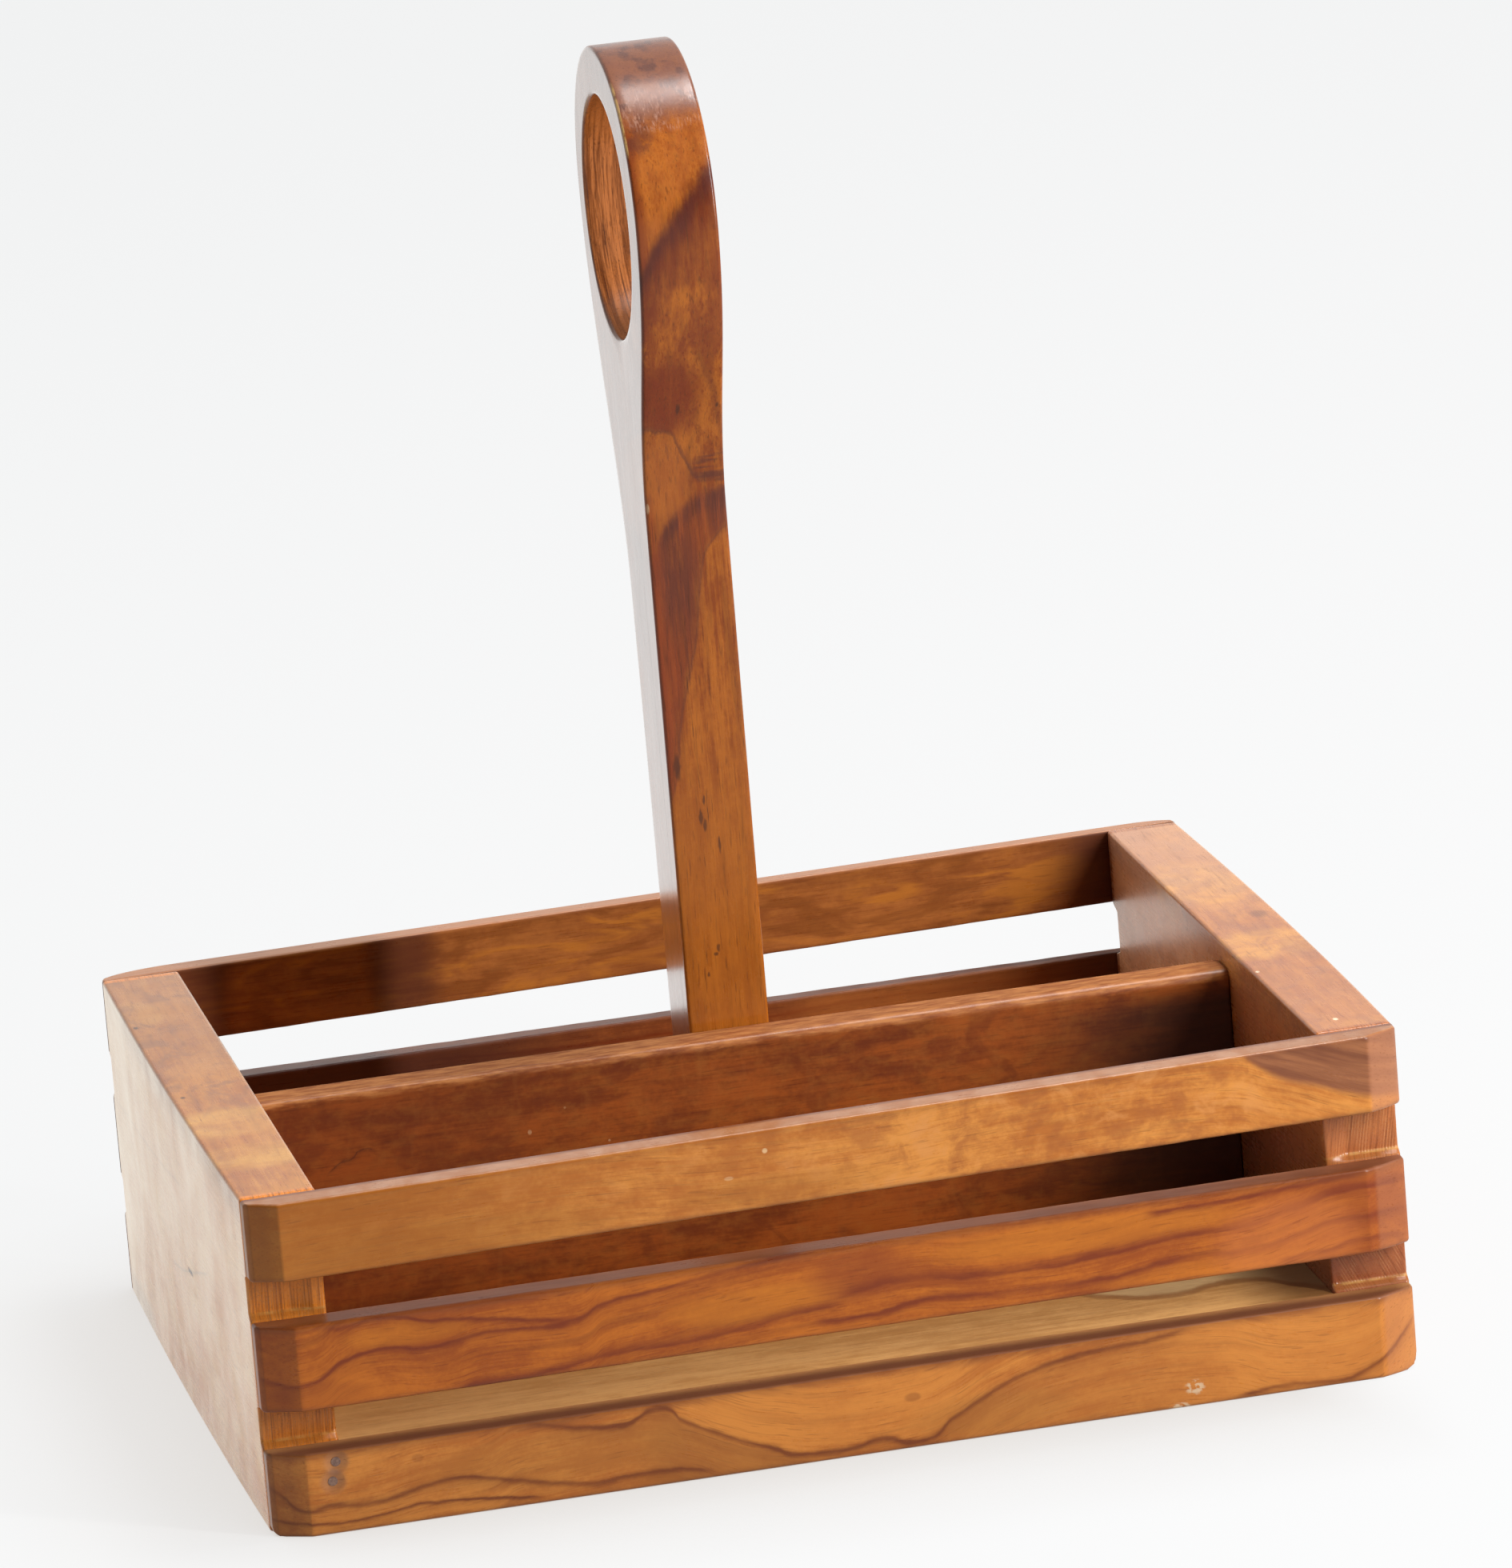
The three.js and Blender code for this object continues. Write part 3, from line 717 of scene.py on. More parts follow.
# %% [markdown]
# ## Rear slats
#
# They are cut from the same boards, seen from the inside through the box. Their outer corners are
# rounded over in a quarter of an ellipse, and the boards get thinner toward the right. Their inner
# faces carry painted shade where the box shades them most in the photograph, and a little painted light.

# %% Rear slats
SHADED_IN = (80.6, 82.0)  # the darker tone of the inner face ends between these y
REAR_MARKS = (6 - OUTER_HALF, 10 - OUTER_HALF, OUTER_HALF - 6)


def rear_upper_figure(paint, colour, x, y, z):
    """Swirls, with three places of painted shadow on the inner face, and a bare top."""
    swirl = paint.noise((24, 20, 6), 71, 4, warp=1)
    # painted shadows of the handle at the left and of the right block at the right end
    painted_shadow = x.band(-62, -57, -50, -42) + x.fall(-93, -87) + 1.25 * x.rise(82, 98)
    return (colour
            .lay(0.7 * swirl.rise(0.48, 0.62), 188, 116, 44)
            .lay(0.55 * swirl.fall(0.36, 0.47), 122, 66, 28)
            # painted shadow, on the inner face only
            .lay(0.7 * painted_shadow * y.fall(*SHADED_IN), 76, 38, 30)
            .lay(darker_edges(paint, x, z, "upper", 0.15, 0.3), *EDGE_DARK)
            .lay(0.8 * bare_top(x, z), 186, 130, 94))


def rear_middle_figure(paint, colour, x, y, z):
    """Three long veins, painted light on the right half inside, and painted shadow over the left part
    and the right end inside.
    """
    veins = paint.veins(x, wavering(paint, z, 72, 1.4), [
        ([(-117, 38), (-70, 35), (-30, 37.5), (20, 34), (70, 36), (117, 33)], 0.5, 0.8, 2),
        ([(-117, 31), (-60, 29), (0, 31), (60, 28.5), (117, 30)], 0.4, 0.7, 1.5),
        ([(-50, 41.5), (0, 39.5), (50, 41), (117, 39)], 0.4, 0.6, 1)])
    within = y.fall(*SHADED_IN)
    return (colour
            .lay((0.8 * veins).at_most(0.8), *VEIN_RED)
            # painted light on the right half of the inner face
            .lay(0.4 * within * x.rise(20, 40), 184, 112, 56)
            # painted shadows of the handle over the left part and of the right block at the right end
            .lay(0.86 * within * (x.fall(-46, 4) + 0.9 * x.rise(74, 96)), 72, 38, 30)
            .lay(darker_edges(paint, x, z, "middle", 0.4, 0.3), *EDGE_DARK))


def rear_lower_figure(paint, colour, x, y, z):
    """Three veins, two of them wide arches."""
    veins = paint.veins(x, wavering(paint, z, 82, 1.2), [
        ([(-117, 3), (-80, 6), (-40, 12), (-10, 14.5), (25, 12), (60, 6), (100, 2.5)], 0.5, 0.8, 2.4),
        ([(-60, 1), (-20, 6.5), (5, 8), (35, 5), (70, 0.5)], 0.4, 0.7, 1.6),
        ([(60, 15), (90, 12.5), (117, 11)], 0.4, 0.7, 1.5)])
    return (colour
            .lay((0.9 * veins).at_most(0.85), *VEIN_BROWN)
            .lay(darker_edges(paint, x, z, "lower", 0.5, 0.3), *EDGE_DARK))


rear_finish = {
    "upper": wood("rear_golden_wood", (172, 104, 50), (142, 80, 38), (96, 50, 28),
                  seed=24, figure=rear_upper_figure, **SLAT_FILM),
    "middle": wood("rear_red_wood", (158, 88, 42), (120, 60, 30), (84, 38, 22),
                   seed=29, figure=rear_middle_figure, **SLAT_FILM),
    "lower": wood("rear_orange_wood", (184, 112, 50), (156, 88, 34), (100, 50, 22),
                  seed=34, figure=rear_lower_figure, **SLAT_FILM),
}

for place in SAW_LINES:
    x, y, z, quads = slat_surface(place, REAR_INSIDE, HALF_WIDTH, REAR_MARKS)
    across = np.clip((x + OUTER_HALF) / (2 * OUTER_HALF), 0, 1)
    depth = (y - REAR_INSIDE) / REAR_SLAT
    for side, run in zip((-1, 1), REAR_RUN):
        t = np.clip(1 - (bowed(side, REAR_INSIDE) - side * x) / run, 0, 1)
        depth = np.minimum(depth, depth * (0.06 + 0.94 * np.sqrt(1 - t ** 2)))
    y = REAR_INSIDE + depth * (REAR_SLAT - REAR_SKEW * across)
    x = leaning(x, z, OUTER_HALF)
    add_piece(f"rear_slat_{place}_wood", np.column_stack([x, y, z]), quads,
              rear_finish[place], f"{place}_slat_wood", f"rear_slat_{place}")

# %% [markdown]
# ## End blocks
#
# The blocks are the thickest wood. Their outer faces bow, and where a slot runs out over a block, the
# saw went on and nicked it: a shallow recess with a sloping ledge and fine saw lines. All of it is one
# box surface. Near each end the points are pressed inward by the depth of the nick at their height.

# %% Shape of a block
# For each block its height, and floor and roof of its lower and its upper nicks
BLOCK_HEIGHT = {-1: 67.8, 1: 70.6}
NICKS = {-1: ((17.0, 25.5), (42.9, 52.1)), 1: ((17.0, 26.1), (43.5, 54.7))}
NICK_FRONT, NICK_REAR = 1.5, {-1: 1.5, 1: 3.4}  # how deep the nicks are
LEDGE, BROW = 1.2, {-1: 0.3, 1: 1.0}  # heights of the slopes at a nick's floor and roof
LAND = {-1: 2.5, 1: 0.9}  # the upper front nicks leave a strip of this width uncut
PRESS = 8.0  # the points this near to an end share its push
SAW_PITCH, SAW_DEPTH = 0.62, 0.07
BLOCK_STEPS = (0.21, 2.6, 0.75)


def saw_marks(x, z, side):
    """Fine grooves that the saw left: a wave in x, leaning with z on the right, of uneven depth."""
    slope = 0.04 if side < 0 else np.where(z > 40, 0.16, -0.42)
    t = x - slope * (z - 20)
    return np.sin(2 * np.pi * t / SAW_PITCH) * (0.55 + 0.45 * ripple(t, 7 + side, longest=5))


def block_surface(side):
    """A rounded board, bowed outside by its parabola, pressed in at the nicks."""
    left, right = sorted([side * INNER_HALF, side * OUTER_HALF])
    front, back = FRONT_INSIDE + GLUE, REAR_INSIDE - GLUE
    marks = [mark for floor, roof in NICKS[side]
             for mark in (floor, floor + LEDGE, roof - BROW[side], roof)]
    points, quads = board(
        (left, front, 0.0), (right, back, BLOCK_HEIGHT[side]), BLOCK_STEPS,
        ([side * (INNER_HALF + LAND[side])], [front + PRESS, back - PRESS], marks))
    x, y, z = points.T
    depth_share = (np.abs(x) - INNER_HALF) / BLOCK
    x = side * (INNER_HALF + depth_share * (bowed(side, y) - INNER_HALF))
    cut = np.clip((np.abs(x) - INNER_HALF - LAND[side]) / 4, 0, 1)
    for number, (floor, roof) in enumerate(NICKS[side]):
        shape = np.interp(z, [floor, floor + LEDGE, roof - BROW[side], roof], [0, 1, 1, 0])
        for end, inward, depth in ((front, 1, NICK_FRONT), (back, -1, NICK_REAR[side])):
            press = depth * shape * (cut if number == 1 and inward > 0 else 1)
            press = press + SAW_DEPTH * saw_marks(x, z, side) * (shape > 0.9) * (press > 0.9)
            reach = np.abs(y - end)
            y = np.where(reach < PRESS, end + inward * (press + reach * (PRESS - press) / PRESS), y)
    if side > 0:
        x = leaning(x, z, INNER_HALF)
    return np.column_stack([x, y, z]), quads


print("saw marks on a flat nick:", np.round(saw_marks(np.arange(101, 104, 0.5), np.full(6, 20.0), -1), 2))

# %% Finish of the blocks
# Colours of the end grain, at the upper and at the lower nicks
SAWN_WOOD = {-1: ((226, 132, 40), (218, 126, 42)), 1: ((172, 100, 54), (142, 76, 48))}


def sawn(paint, colour, x, y, z, side):
    """Saw lines on the end grain: brown ones of uneven strength with a few pale ones between.
    They lean with the saw: upright at the left, a little to the right at the upper right nicks,
    and far over at the lower right nicks."""
    low, ends = z.fall(36, 40), abs(y).rise(77.2, 78.2)
    slope = 0.02 if side < 0 else 0.16 - 0.66 * low
    across = x - slope * (z - 20)
    along_saw = paint.node(
        "ShaderNodeCombineXYZ", None, {0: 2 * across + 3.3 * side, 1: 0.1 * y, 2: 0.05 * z})
    lines = paint.node("ShaderNodeTexNoise", None, {
        "Vector": along_saw, "Scale": 1, "Detail": 3, "Roughness": 0.7})
    pale = paint.math("SINE", across * (2 * np.pi / SAW_PITCH)).rise(0.5, 1)
    rim = paint.noise((2.6, 30, 8), 95 + side, 1)
    return (colour
            .lay(0.85 * ends, paint.mix(low, *SAWN_WOOD[side]))
            .lay(0.6 * ends * lines.rise(0.46, 0.66), 112, 54, 22)
            .lay(0.35 * ends * pale * rim.rise(0.46, 0.6), 216, 158, 104))


def ledges(paint, colour, y, z, side):
    """The slope at a nick's floor is tinted brown and gets a paler upper edge in patches; on the right
    block the slope at a nick's roof is paler in patches too.
    """
    end = abs(y).rise(77.4, 78.6)
    pale_patches = 0.25 + 0.75 * paint.noise((2.4, 9, 9), 97 + side, 2).rise(0.4, 0.6)
    for floor, roof in NICKS[side]:
        ledge, brow = z - floor, z - roof
        colour = (colour
                  .lay(0.4 * end * ledge.band(-0.2, 0.1, 1, 1.4), 150, 96, 44)
                  .lay(0.5 * end * pale_patches * ledge.band(0.7, 1, 1.2, 1.5), 218, 172, 98))
        if side > 0:
            colour = colour.lay(0.35 * end * pale_patches * brow.band(-1.2, -0.8, -0.1, 0.2), 206, 154, 88)
    return colour


def left_block_figure(paint, colour, x, y, z):
    """Yellow and smoky patches on the top, and on the outer face painted light, a crack and a dark mark."""
    top = z.rise(60, 66.5)
    yellow = paint.spots(y, x, (-53, -107, 8, 12), (-29, -108, 9, 12), (52, -113, 9, 5, 0.7))
    cloud = paint.noise((14, 9, 10), 100, 4, 0.6, 0.3)
    yellow = yellow * (0.4 + 1.1 * cloud.rise(0.32, 0.66))
    smoke = paint.noise((6, 12, 9), 101, 4, 0.62, 0.8)
    grey = smoke.rise(0.44, 0.66) * (0.25 + 0.75 * y.rise(-35, 5))
    crack = paint.vein(y, wavering(paint, z, 102, 1.5), [(-10, 50), (12, 48), (35, 46), (60, 44.6), (80, 43)],
                       0.3, 0.5, 0.6)
    mark = paint.vein(y, z, [(-36, 39.4), (-24, 36), (-12, 32.6), (0, 29.6), (12, 28)], 0.4, 0.4, 0.8)
    flame = paint.noise((20, 18, 11), 103, 4, 0.6, 0.3)
    lit = paint.mix(flame.rise(0.3, 0.7), (234, 158, 94), (252, 198, 136))
    colour = (colour
              .lay((0.55 * yellow * top).at_most(0.8), 222, 162, 76)
              .lay(0.64 * grey * top, 124, 78, 58)
              .lay((0.16 + 0.28 * y.rise(-20, 30)) * top, 142, 90, 56)
              .lay(0.6 * crack, 110, 56, 34)
              # painted light over the outer face below the top
              .lay(0.9 * x.fall(-115, -113.6) * (1 - top), lit)
              .lay(0.8 * (0.6 * mark + paint.spots(y, z, (-12, 32.6, 3, 0.5, 0.9))), 92, 74, 70)
              .lay(0.5 * crack, 120, 66, 40)
              .lay(0.6 * y.rise(36, 60) * z.fall(3, 8), 104, 62, 58)
              .lay(0.8 * top * paint.spots(y, x, (-9, -114, 0.7, 0.5), (43, -115, 0.8, 0.5)), 60, 34, 26))
    return ledges(paint, sawn(paint, colour, x, y, z, -1), y, z, -1)


def right_block_figure(paint, colour, x, y, z):
    """Yellow and smoky patches and a knot on the top, with a painted sheen toward its back, and on the
    inner face a painted reflection behind the divider and painted shade in front of it.
    """
    top = z.rise(62, 69)
    inner = x.fall(100.2, 101) * (1 - top)
    cloud = paint.noise((9, 13, 10), 110, 4, 0.6, 0.7)
    yellow = paint.spots(y, x, (-16, 107, 10, 12), (32, 106, 17, 9), (-78, 111, 5, 5, 0.5))
    yellow = yellow * (0.4 + 1.1 * cloud.rise(0.34, 0.64))
    smoke = paint.noise((7, 11, 9), 111, 4, 0.62, 0.8)
    knot = paint.spots(y, x, (5.5, 112.5, 2.6, 1.8), edge=0.9)
    # pale tones of the painted reflection on the inner face
    rear = paint.mix(cloud.rise(0.36, 0.62), (214, 140, 84), (232, 162, 106))
    colour = (colour
              .lay((0.65 * yellow * top).at_most(0.9), 214, 146, 62)
              .lay(0.5 * smoke.rise(0.44, 0.66) * top, 140, 80, 58)
              .lay(0.2 * top * y.fall(-50, -10), 150, 92, 56)
              # painted sheen, paler toward the back of the top
              .lay((0.12 + 0.34 * y.rise(0, 70)) * top, 216, 164, 126)
              .lay(0.5 * knot * top, 104, 58, 44)
              .lay(0.8 * top * paint.spots(y, x, (-72, 106.2, 0.8, 0.5), (-34, 101, 0.6, 0.4)), 250, 225, 190)
              # painted reflection on the inner face behind the divider
              .lay(0.8 * inner * y.rise(-12, 4), rear)
              # painted shade on the inner face in front of the divider, darkest low down
              .lay(0.6 * inner * y.fall(-24, -12), 172, 96, 52)
              .lay(0.75 * inner * z.fall(24, 66) * y.fall(-20, 0), 84, 46, 28))
    return ledges(paint, sawn(paint, colour, x, y, z, 1), y, z, 1)


def left_block_wax(paint, x, y, z):
    """More sheen toward the top, in patches drawn out upward, with fine scratches along the board."""
    patchy = paint.noise((20, 15, 21), 105, 4, 0.62, 0.5)
    scratch = paint.noise((20, 16, 0.6), 106, 3, 0.6)
    amount = 0.1 + 0.54 * z.rise(0, 50) + 1.2 * (patchy - 0.5) + 0.3 * (scratch - 0.5)
    amount = amount + 0.5 * y.rise(0, 70) * (1 - 0.55 * z.rise(15, 50))
    mark = paint.spots(y, z, (-12, 32.6, 3.4, 0.7), edge=0.7)
    return (amount * (1 - 0.75 * mark)).at_least(0)


def right_block_wax(paint, x, y, z):
    """The top has a little sheen, and the inner face more toward the back."""
    inner, rear = x.fall(100.3, 101.5), y.rise(-10, 40)
    patchy = paint.noise((20, 12, 9), 113, 3, 0.6)
    return 0.4 + 0.3 * rear + inner * (0.15 * rear - 0.25) + (0.5 - 0.25 * inner) * (patchy - 0.5)


block_finish = {
    -1: wood("left_block_wood", (206, 136, 62), (172, 100, 44), (116, 60, 34), along=1, seed=44, rings=0.25,
             figure=left_block_figure, wax=left_block_wax, film=(1.0, 0.92, 0.81), film_rough=0.34),
    1: wood("right_block_wood", (196, 124, 62), (164, 92, 48), (112, 56, 36), along=1, seed=49, rings=0.25,
            figure=right_block_figure, wax=right_block_wax, film=(1.0, 0.9, 0.77), film_rough=0.42),
}
for side, name in ((-1, "left_end_block"), (1, "right_end_block")):
    add_piece(f"{name}_wood", *block_surface(side), block_finish[side], "block_wood", name)

# %% [markdown]
# ## Divider
#
# A board on edge between the two compartments. Its front top arris has been rubbed round by hands and
# jars. The wear is a push: points that lie outside a cylinder along the arris are pulled back onto it.

# %% Divider
DIVIDER_FRONT, DIVIDER_BACK, DIVIDER_TOP, BASE_TOP = -15.2, -7.2, 66.1, 16.6
DIVIDER_STEPS, DIVIDER_ARRIS = (1.6, 0.35, 0.8), 0.5


def divider_figure(paint, colour, x, y, z):
    """Swirls, a small knot and specks, a rubbed top arris, and a painted shadow at the right end."""
    swirl = paint.noise((18, 16, 10), 121, 4, 0.6, 1.4)
    ghost = paint.noise((2.2, 9, 7), 122, 3, 0.5, 0.4)
    knot = paint.vein(x, wavering(paint, z, 123, 3),
                      [(-88, 49), (-85, 51.4), (-82.5, 51.8), (-80, 53.6), (-77, 53)], 0.3, 0.3, 0.7, 2)
    specks = paint.spots(x, z, (-46, 52.6, 0.4, 0.5), (-30, 48.6, 0.25, 0.25),
                         (-38.5, 56.7, 0.25, 0.25, 0.7))
    haze = paint.noise((5, 9, 3), 125, 4, 0.66)
    scratch = paint.noise((7, 1.4, 1.4), 124, 4, 0.66)
    edge = 65 - 0.5 * x.rise(-40, 80)
    rubbed = (z - edge + 2.4 * (scratch - 0.5)).rise(-0.8, 0.8)
    worn = paint.mix(scratch.rise(0.34, 0.64), (138, 76, 34), (182, 118, 64))
    return (colour
            .lay(0.5 * swirl.rise(0.46, 0.62), 96, 40, 16)
            .lay(0.12 * ghost.rise(0.54, 0.74), 166, 104, 48)
            .lay(0.8 * knot, 50, 26, 20)
            .lay(0.6 * specks, 190, 150, 110)
            .lay(0.4 * haze.rise(0.45, 0.7), 152, 90, 34)
            .lay(0.28 * x.fall(-76, -20), 94, 42, 18)
            .lay(0.85 * rubbed, worn)
            # painted shadow of the right block over the right end of the board
            .lay(0.85 * x.rise(46, 94) * z.fall(59, 65.5) * y.fall(-2, 0), 50, 27, 20))


def divider_gloss(paint, x, y, z):
    """The board is lacquered, and its top is worn dull, but for the arris that hands slide over."""
    return 0.36 + 0.5 * z.rise(64.8, 65.8) * y.rise(DIVIDER_FRONT + 1, DIVIDER_FRONT + 2)


divider_end = INNER_HALF - GLUE
points, quads = board(
    (-divider_end, DIVIDER_FRONT, BASE_TOP + GLUE), (divider_end, DIVIDER_BACK, DIVIDER_TOP),
    DIVIDER_STEPS, ((), (), (62, 63, 64, 65)), DIVIDER_ARRIS)
x, y, z = points.T
wear = 1.3 + 0.2 * ripple(x, 131, longest=70) + 1.1 * (x + INNER_HALF) / (2 * INNER_HALF)
out, over = pulled(DIVIDER_FRONT + wear - y, z - (DIVIDER_TOP - wear), wear)
y, z = DIVIDER_FRONT + wear - out, DIVIDER_TOP - wear + over
divider_finish = wood(
    "divider_wood", (150, 76, 24), (108, 48, 14), (70, 30, 12), seed=54, grain=0.9, rings=0.15,
    figure=divider_figure, gloss=divider_gloss, wax=0.05, film=(1.0, 0.86, 0.7), film_rough=0.4)
add_piece("divider_wood_board", np.column_stack([leaning(x, z, divider_end), y, z]), quads,
          divider_finish, "divider_wood", "divider")

# %% [markdown]
# ## Carrying handle
#
# The handle is a flat board with one hole, so its whole skin is a ring that is closed both ways, like
# the skin of a doughnut. One parameter runs round the outline. The other runs from the wall of the
# hand hole over one face to the outer edge, round it, and back over the other face. The outline is
# straight lines and smooth curves, as in the CAD model, read at even steps.

# %% Outline and eye
HANDLE_X, HANDLE_THICK, HANDLE_TOP = -2.0, 16.4, 264.4
FOOT_Z, NECK_Z, HEAD_Z = 12.8, 172.0, 235.0
FOOT_FRONT, FOOT_WIDTH, NECK_WIDTH = DIVIDER_BACK + GLUE, 16.4, 24.0
NECK_FRONT = FOOT_FRONT + 1.9
HEAD_Y, HEAD_HALF, CROWN_Y = 9.4, 28.3, 11.9
EYE_Y, EYE_Z, EYE_HALF_Y, EYE_HALF_Z, EYE_LEAN = 10.6, 230.4, 20.8, 24.4, np.radians(6)
QUARTER = 0.5523  # a curve pulled this share of its radius draws a quarter of a circle


def curved(start, first, second, end, count=160):
    """A curve that leaves start toward first and reaches end from second. Each point is a mix of all
    four, with weights (1-t)^3, 3(1-t)^2 t, 3(1-t) t^2 and t^3."""
    t = np.linspace(0, 1, count)[:, None]
    weights = ((1 - t) ** 3, 3 * (1 - t) ** 2 * t, 3 * (1 - t) * t ** 2, t ** 3)
    return sum(w * np.array(p) for w, p in zip(weights, (start, first, second, end)))


def even_steps(path, step):
    """The closed path read at even steps along its length."""
    path = np.vstack([path, path[:1]])
    length = np.concatenate([[0], np.cumsum(np.linalg.norm(np.diff(path, axis=0), axis=1))])
    at = np.linspace(0, length[-1], int(length[-1] / step), endpoint=False)
    return np.column_stack([np.interp(at, length, path[:, axis]) for axis in (0, 1)])


def handle_outline():
    """Outline in y and z: straight stem, curves out to the head, two quarters over the crown."""
    neck_back = NECK_FRONT + NECK_WIDTH
    front, back = HEAD_Y - HEAD_HALF, HEAD_Y + HEAD_HALF
    flare, climb = (HEAD_Z - NECK_Z) / 2, HANDLE_TOP - HEAD_Z
    neck, brow, crown = (neck_back - 1.5, NECK_Z - 18), (front, HEAD_Z - 4), (CROWN_Y, HANDLE_TOP)
    return even_steps(np.vstack([
        [(FOOT_FRONT, FOOT_Z), (FOOT_FRONT + FOOT_WIDTH, FOOT_Z), neck],
        curved(neck, (neck_back, NECK_Z + 0.2 * flare), (back, HEAD_Z - 0.95 * flare), (back, HEAD_Z)),
        curved((back, HEAD_Z), (back, HEAD_Z + climb * QUARTER),
               (CROWN_Y + HEAD_HALF * QUARTER, HANDLE_TOP), crown),
        curved(crown, (CROWN_Y - HEAD_HALF * QUARTER, HANDLE_TOP),
               (front, HEAD_Z + climb * QUARTER), brow),
        curved(brow, (front, HEAD_Z - 0.9 * flare),
               (NECK_FRONT, NECK_Z + 0.75 * flare), (NECK_FRONT, NECK_Z)),
        [(FOOT_FRONT, DIVIDER_TOP)]]), 1.0)


def inward_normals(path):
    """Unit normals of a closed path that runs round its inside on the left."""
    along = np.roll(path, -1, 0) - np.roll(path, 1, 0)
    along = (along + np.roll(along, 1, 0) + np.roll(along, -1, 0)) / 3
    along /= np.linalg.norm(along, axis=1, keepdims=True)
    return np.column_stack([-along[:, 1], along[:, 0]])


outer = handle_outline()
angle = np.arctan2(outer[:, 1] - EYE_Z, outer[:, 0] - EYE_Y)
lean = np.array([[np.cos(EYE_LEAN), np.sin(EYE_LEAN)], [-np.sin(EYE_LEAN), np.cos(EYE_LEAN)]])
eye = np.column_stack([EYE_HALF_Y * np.cos(angle), EYE_HALF_Z * np.sin(angle)]) @ lean.T
eye += np.array([EYE_Y, EYE_Z])
eye_out = np.column_stack([np.cos(angle) / EYE_HALF_Y, np.sin(angle) / EYE_HALF_Z]) @ lean.T
eye_out /= np.linalg.norm(eye_out, axis=1, keepdims=True)
print(f"handle outline: {len(outer)} points")

# %% Skin of the handle
FACE_STEPS, ROUND_STEPS, WALL_STEPS = 14, 5, 10


def handle_rings():
    """For each ring its x, and its share of the way: 0 at the eye, 1 and 2 at the inner and the outer
    rim of the face, 3 at the outline. The right half is the left one mirrored."""
    half = HANDLE_THICK / 2
    wall = np.linspace(half - ARRIS, ARRIS - half, WALL_STEPS)
    quarter = np.linspace(0, np.pi / 2, ROUND_STEPS)
    bend = ARRIS * (1 - np.sin(quarter)) - half
    left = np.vstack([
        np.column_stack([bend, 1 - np.cos(quarter)])[1:],
        [(-half, 1 + share) for share in np.linspace(0, 1, FACE_STEPS + 2)[1:-1]],
        np.column_stack([bend, 2 + np.cos(quarter)])[::-1]])
    return np.vstack([
        np.column_stack([wall, 0 * wall]), left,
        np.column_stack([-wall, 0 * wall + 3])[1:-1], left[::-1] * (-1, 1)])


def handle_skin():
    """Grid of points, closed both ways: each ring lies between two of four paths."""
    paths = (eye, eye + ARRIS * eye_out, outer + ARRIS * inward_normals(outer), outer)
    rings = []
    for x, share in handle_rings():
        start = min(int(share), 2)
        path = paths[start] + (share - start) * (paths[start + 1] - paths[start])
        rings.append(np.column_stack([np.full(len(path), x + HANDLE_X), path]))
    skin = np.array(rings + rings[:1])
    return np.concatenate([skin, skin[:, :1]], axis=1)


handle_points, quads = weld([(handle_skin(), False)])
handle_quads = quads[(quads[:, 0] != quads[:, 2]) & (quads[:, 1] != quads[:, 3])]
print(f"handle skin: {len(handle_rings())} rings")

# %% [markdown]
# ## Figure of the handle
#
# The figure of the handle is the busiest. It is drawn from bottom to top in short steps, one for each
# part of the height: a golden stem with a dark smoky tongue, a waist with a tan patch and a brown
# cloud, a head with a band that climbs to the right, and a dusty crown. All of them read the same few
# coordinates, which bend with the front edge and fade behind it.

# %% Figure of the handle
FRONT_HEIGHTS = (66, 140, 160, 170, 180, 190, 200, 212, 226, 240, 248, 254, 259, 262, 263.6)
front_side = outer[np.argmax(outer[:, 1]):][::-1]
FRONT_LINE = [(height, np.interp(height, front_side[:, 1], front_side[:, 0])) for height in FRONT_HEIGHTS]
GOLD, SMOKE_RED, PURPLE = (174, 100, 28), (122, 54, 22), (78, 40, 32)
TONGUE_EDGE = [(112, -11), (118, -8.6), (128, -7), (138, -4.8), (148, -2), (154, -1.2), (159, -0.2),
               (163, 0.7), (166, 2.5), (169, 5.4), (172, 9)]
KNOTS = [(-8.3, 121, 0.7, 2.6), (-4.3, 110.2, 0.34, 1.7), (-3.6, 108.4, 0.3, 1.3),
         (-3.4, 113.6, 0.28, 1), (-1, 104, 0.3, 1.7), (-3, 82.8, 0.4, 0.8), (-3.6, 81.6, 0.45, 0.35),
         (-5.4, 77.6, 0.26, 0.5), (-3.1, 194.6, 0.5, 1.1), (4.9, 194.6, 0.3, 0.5)]


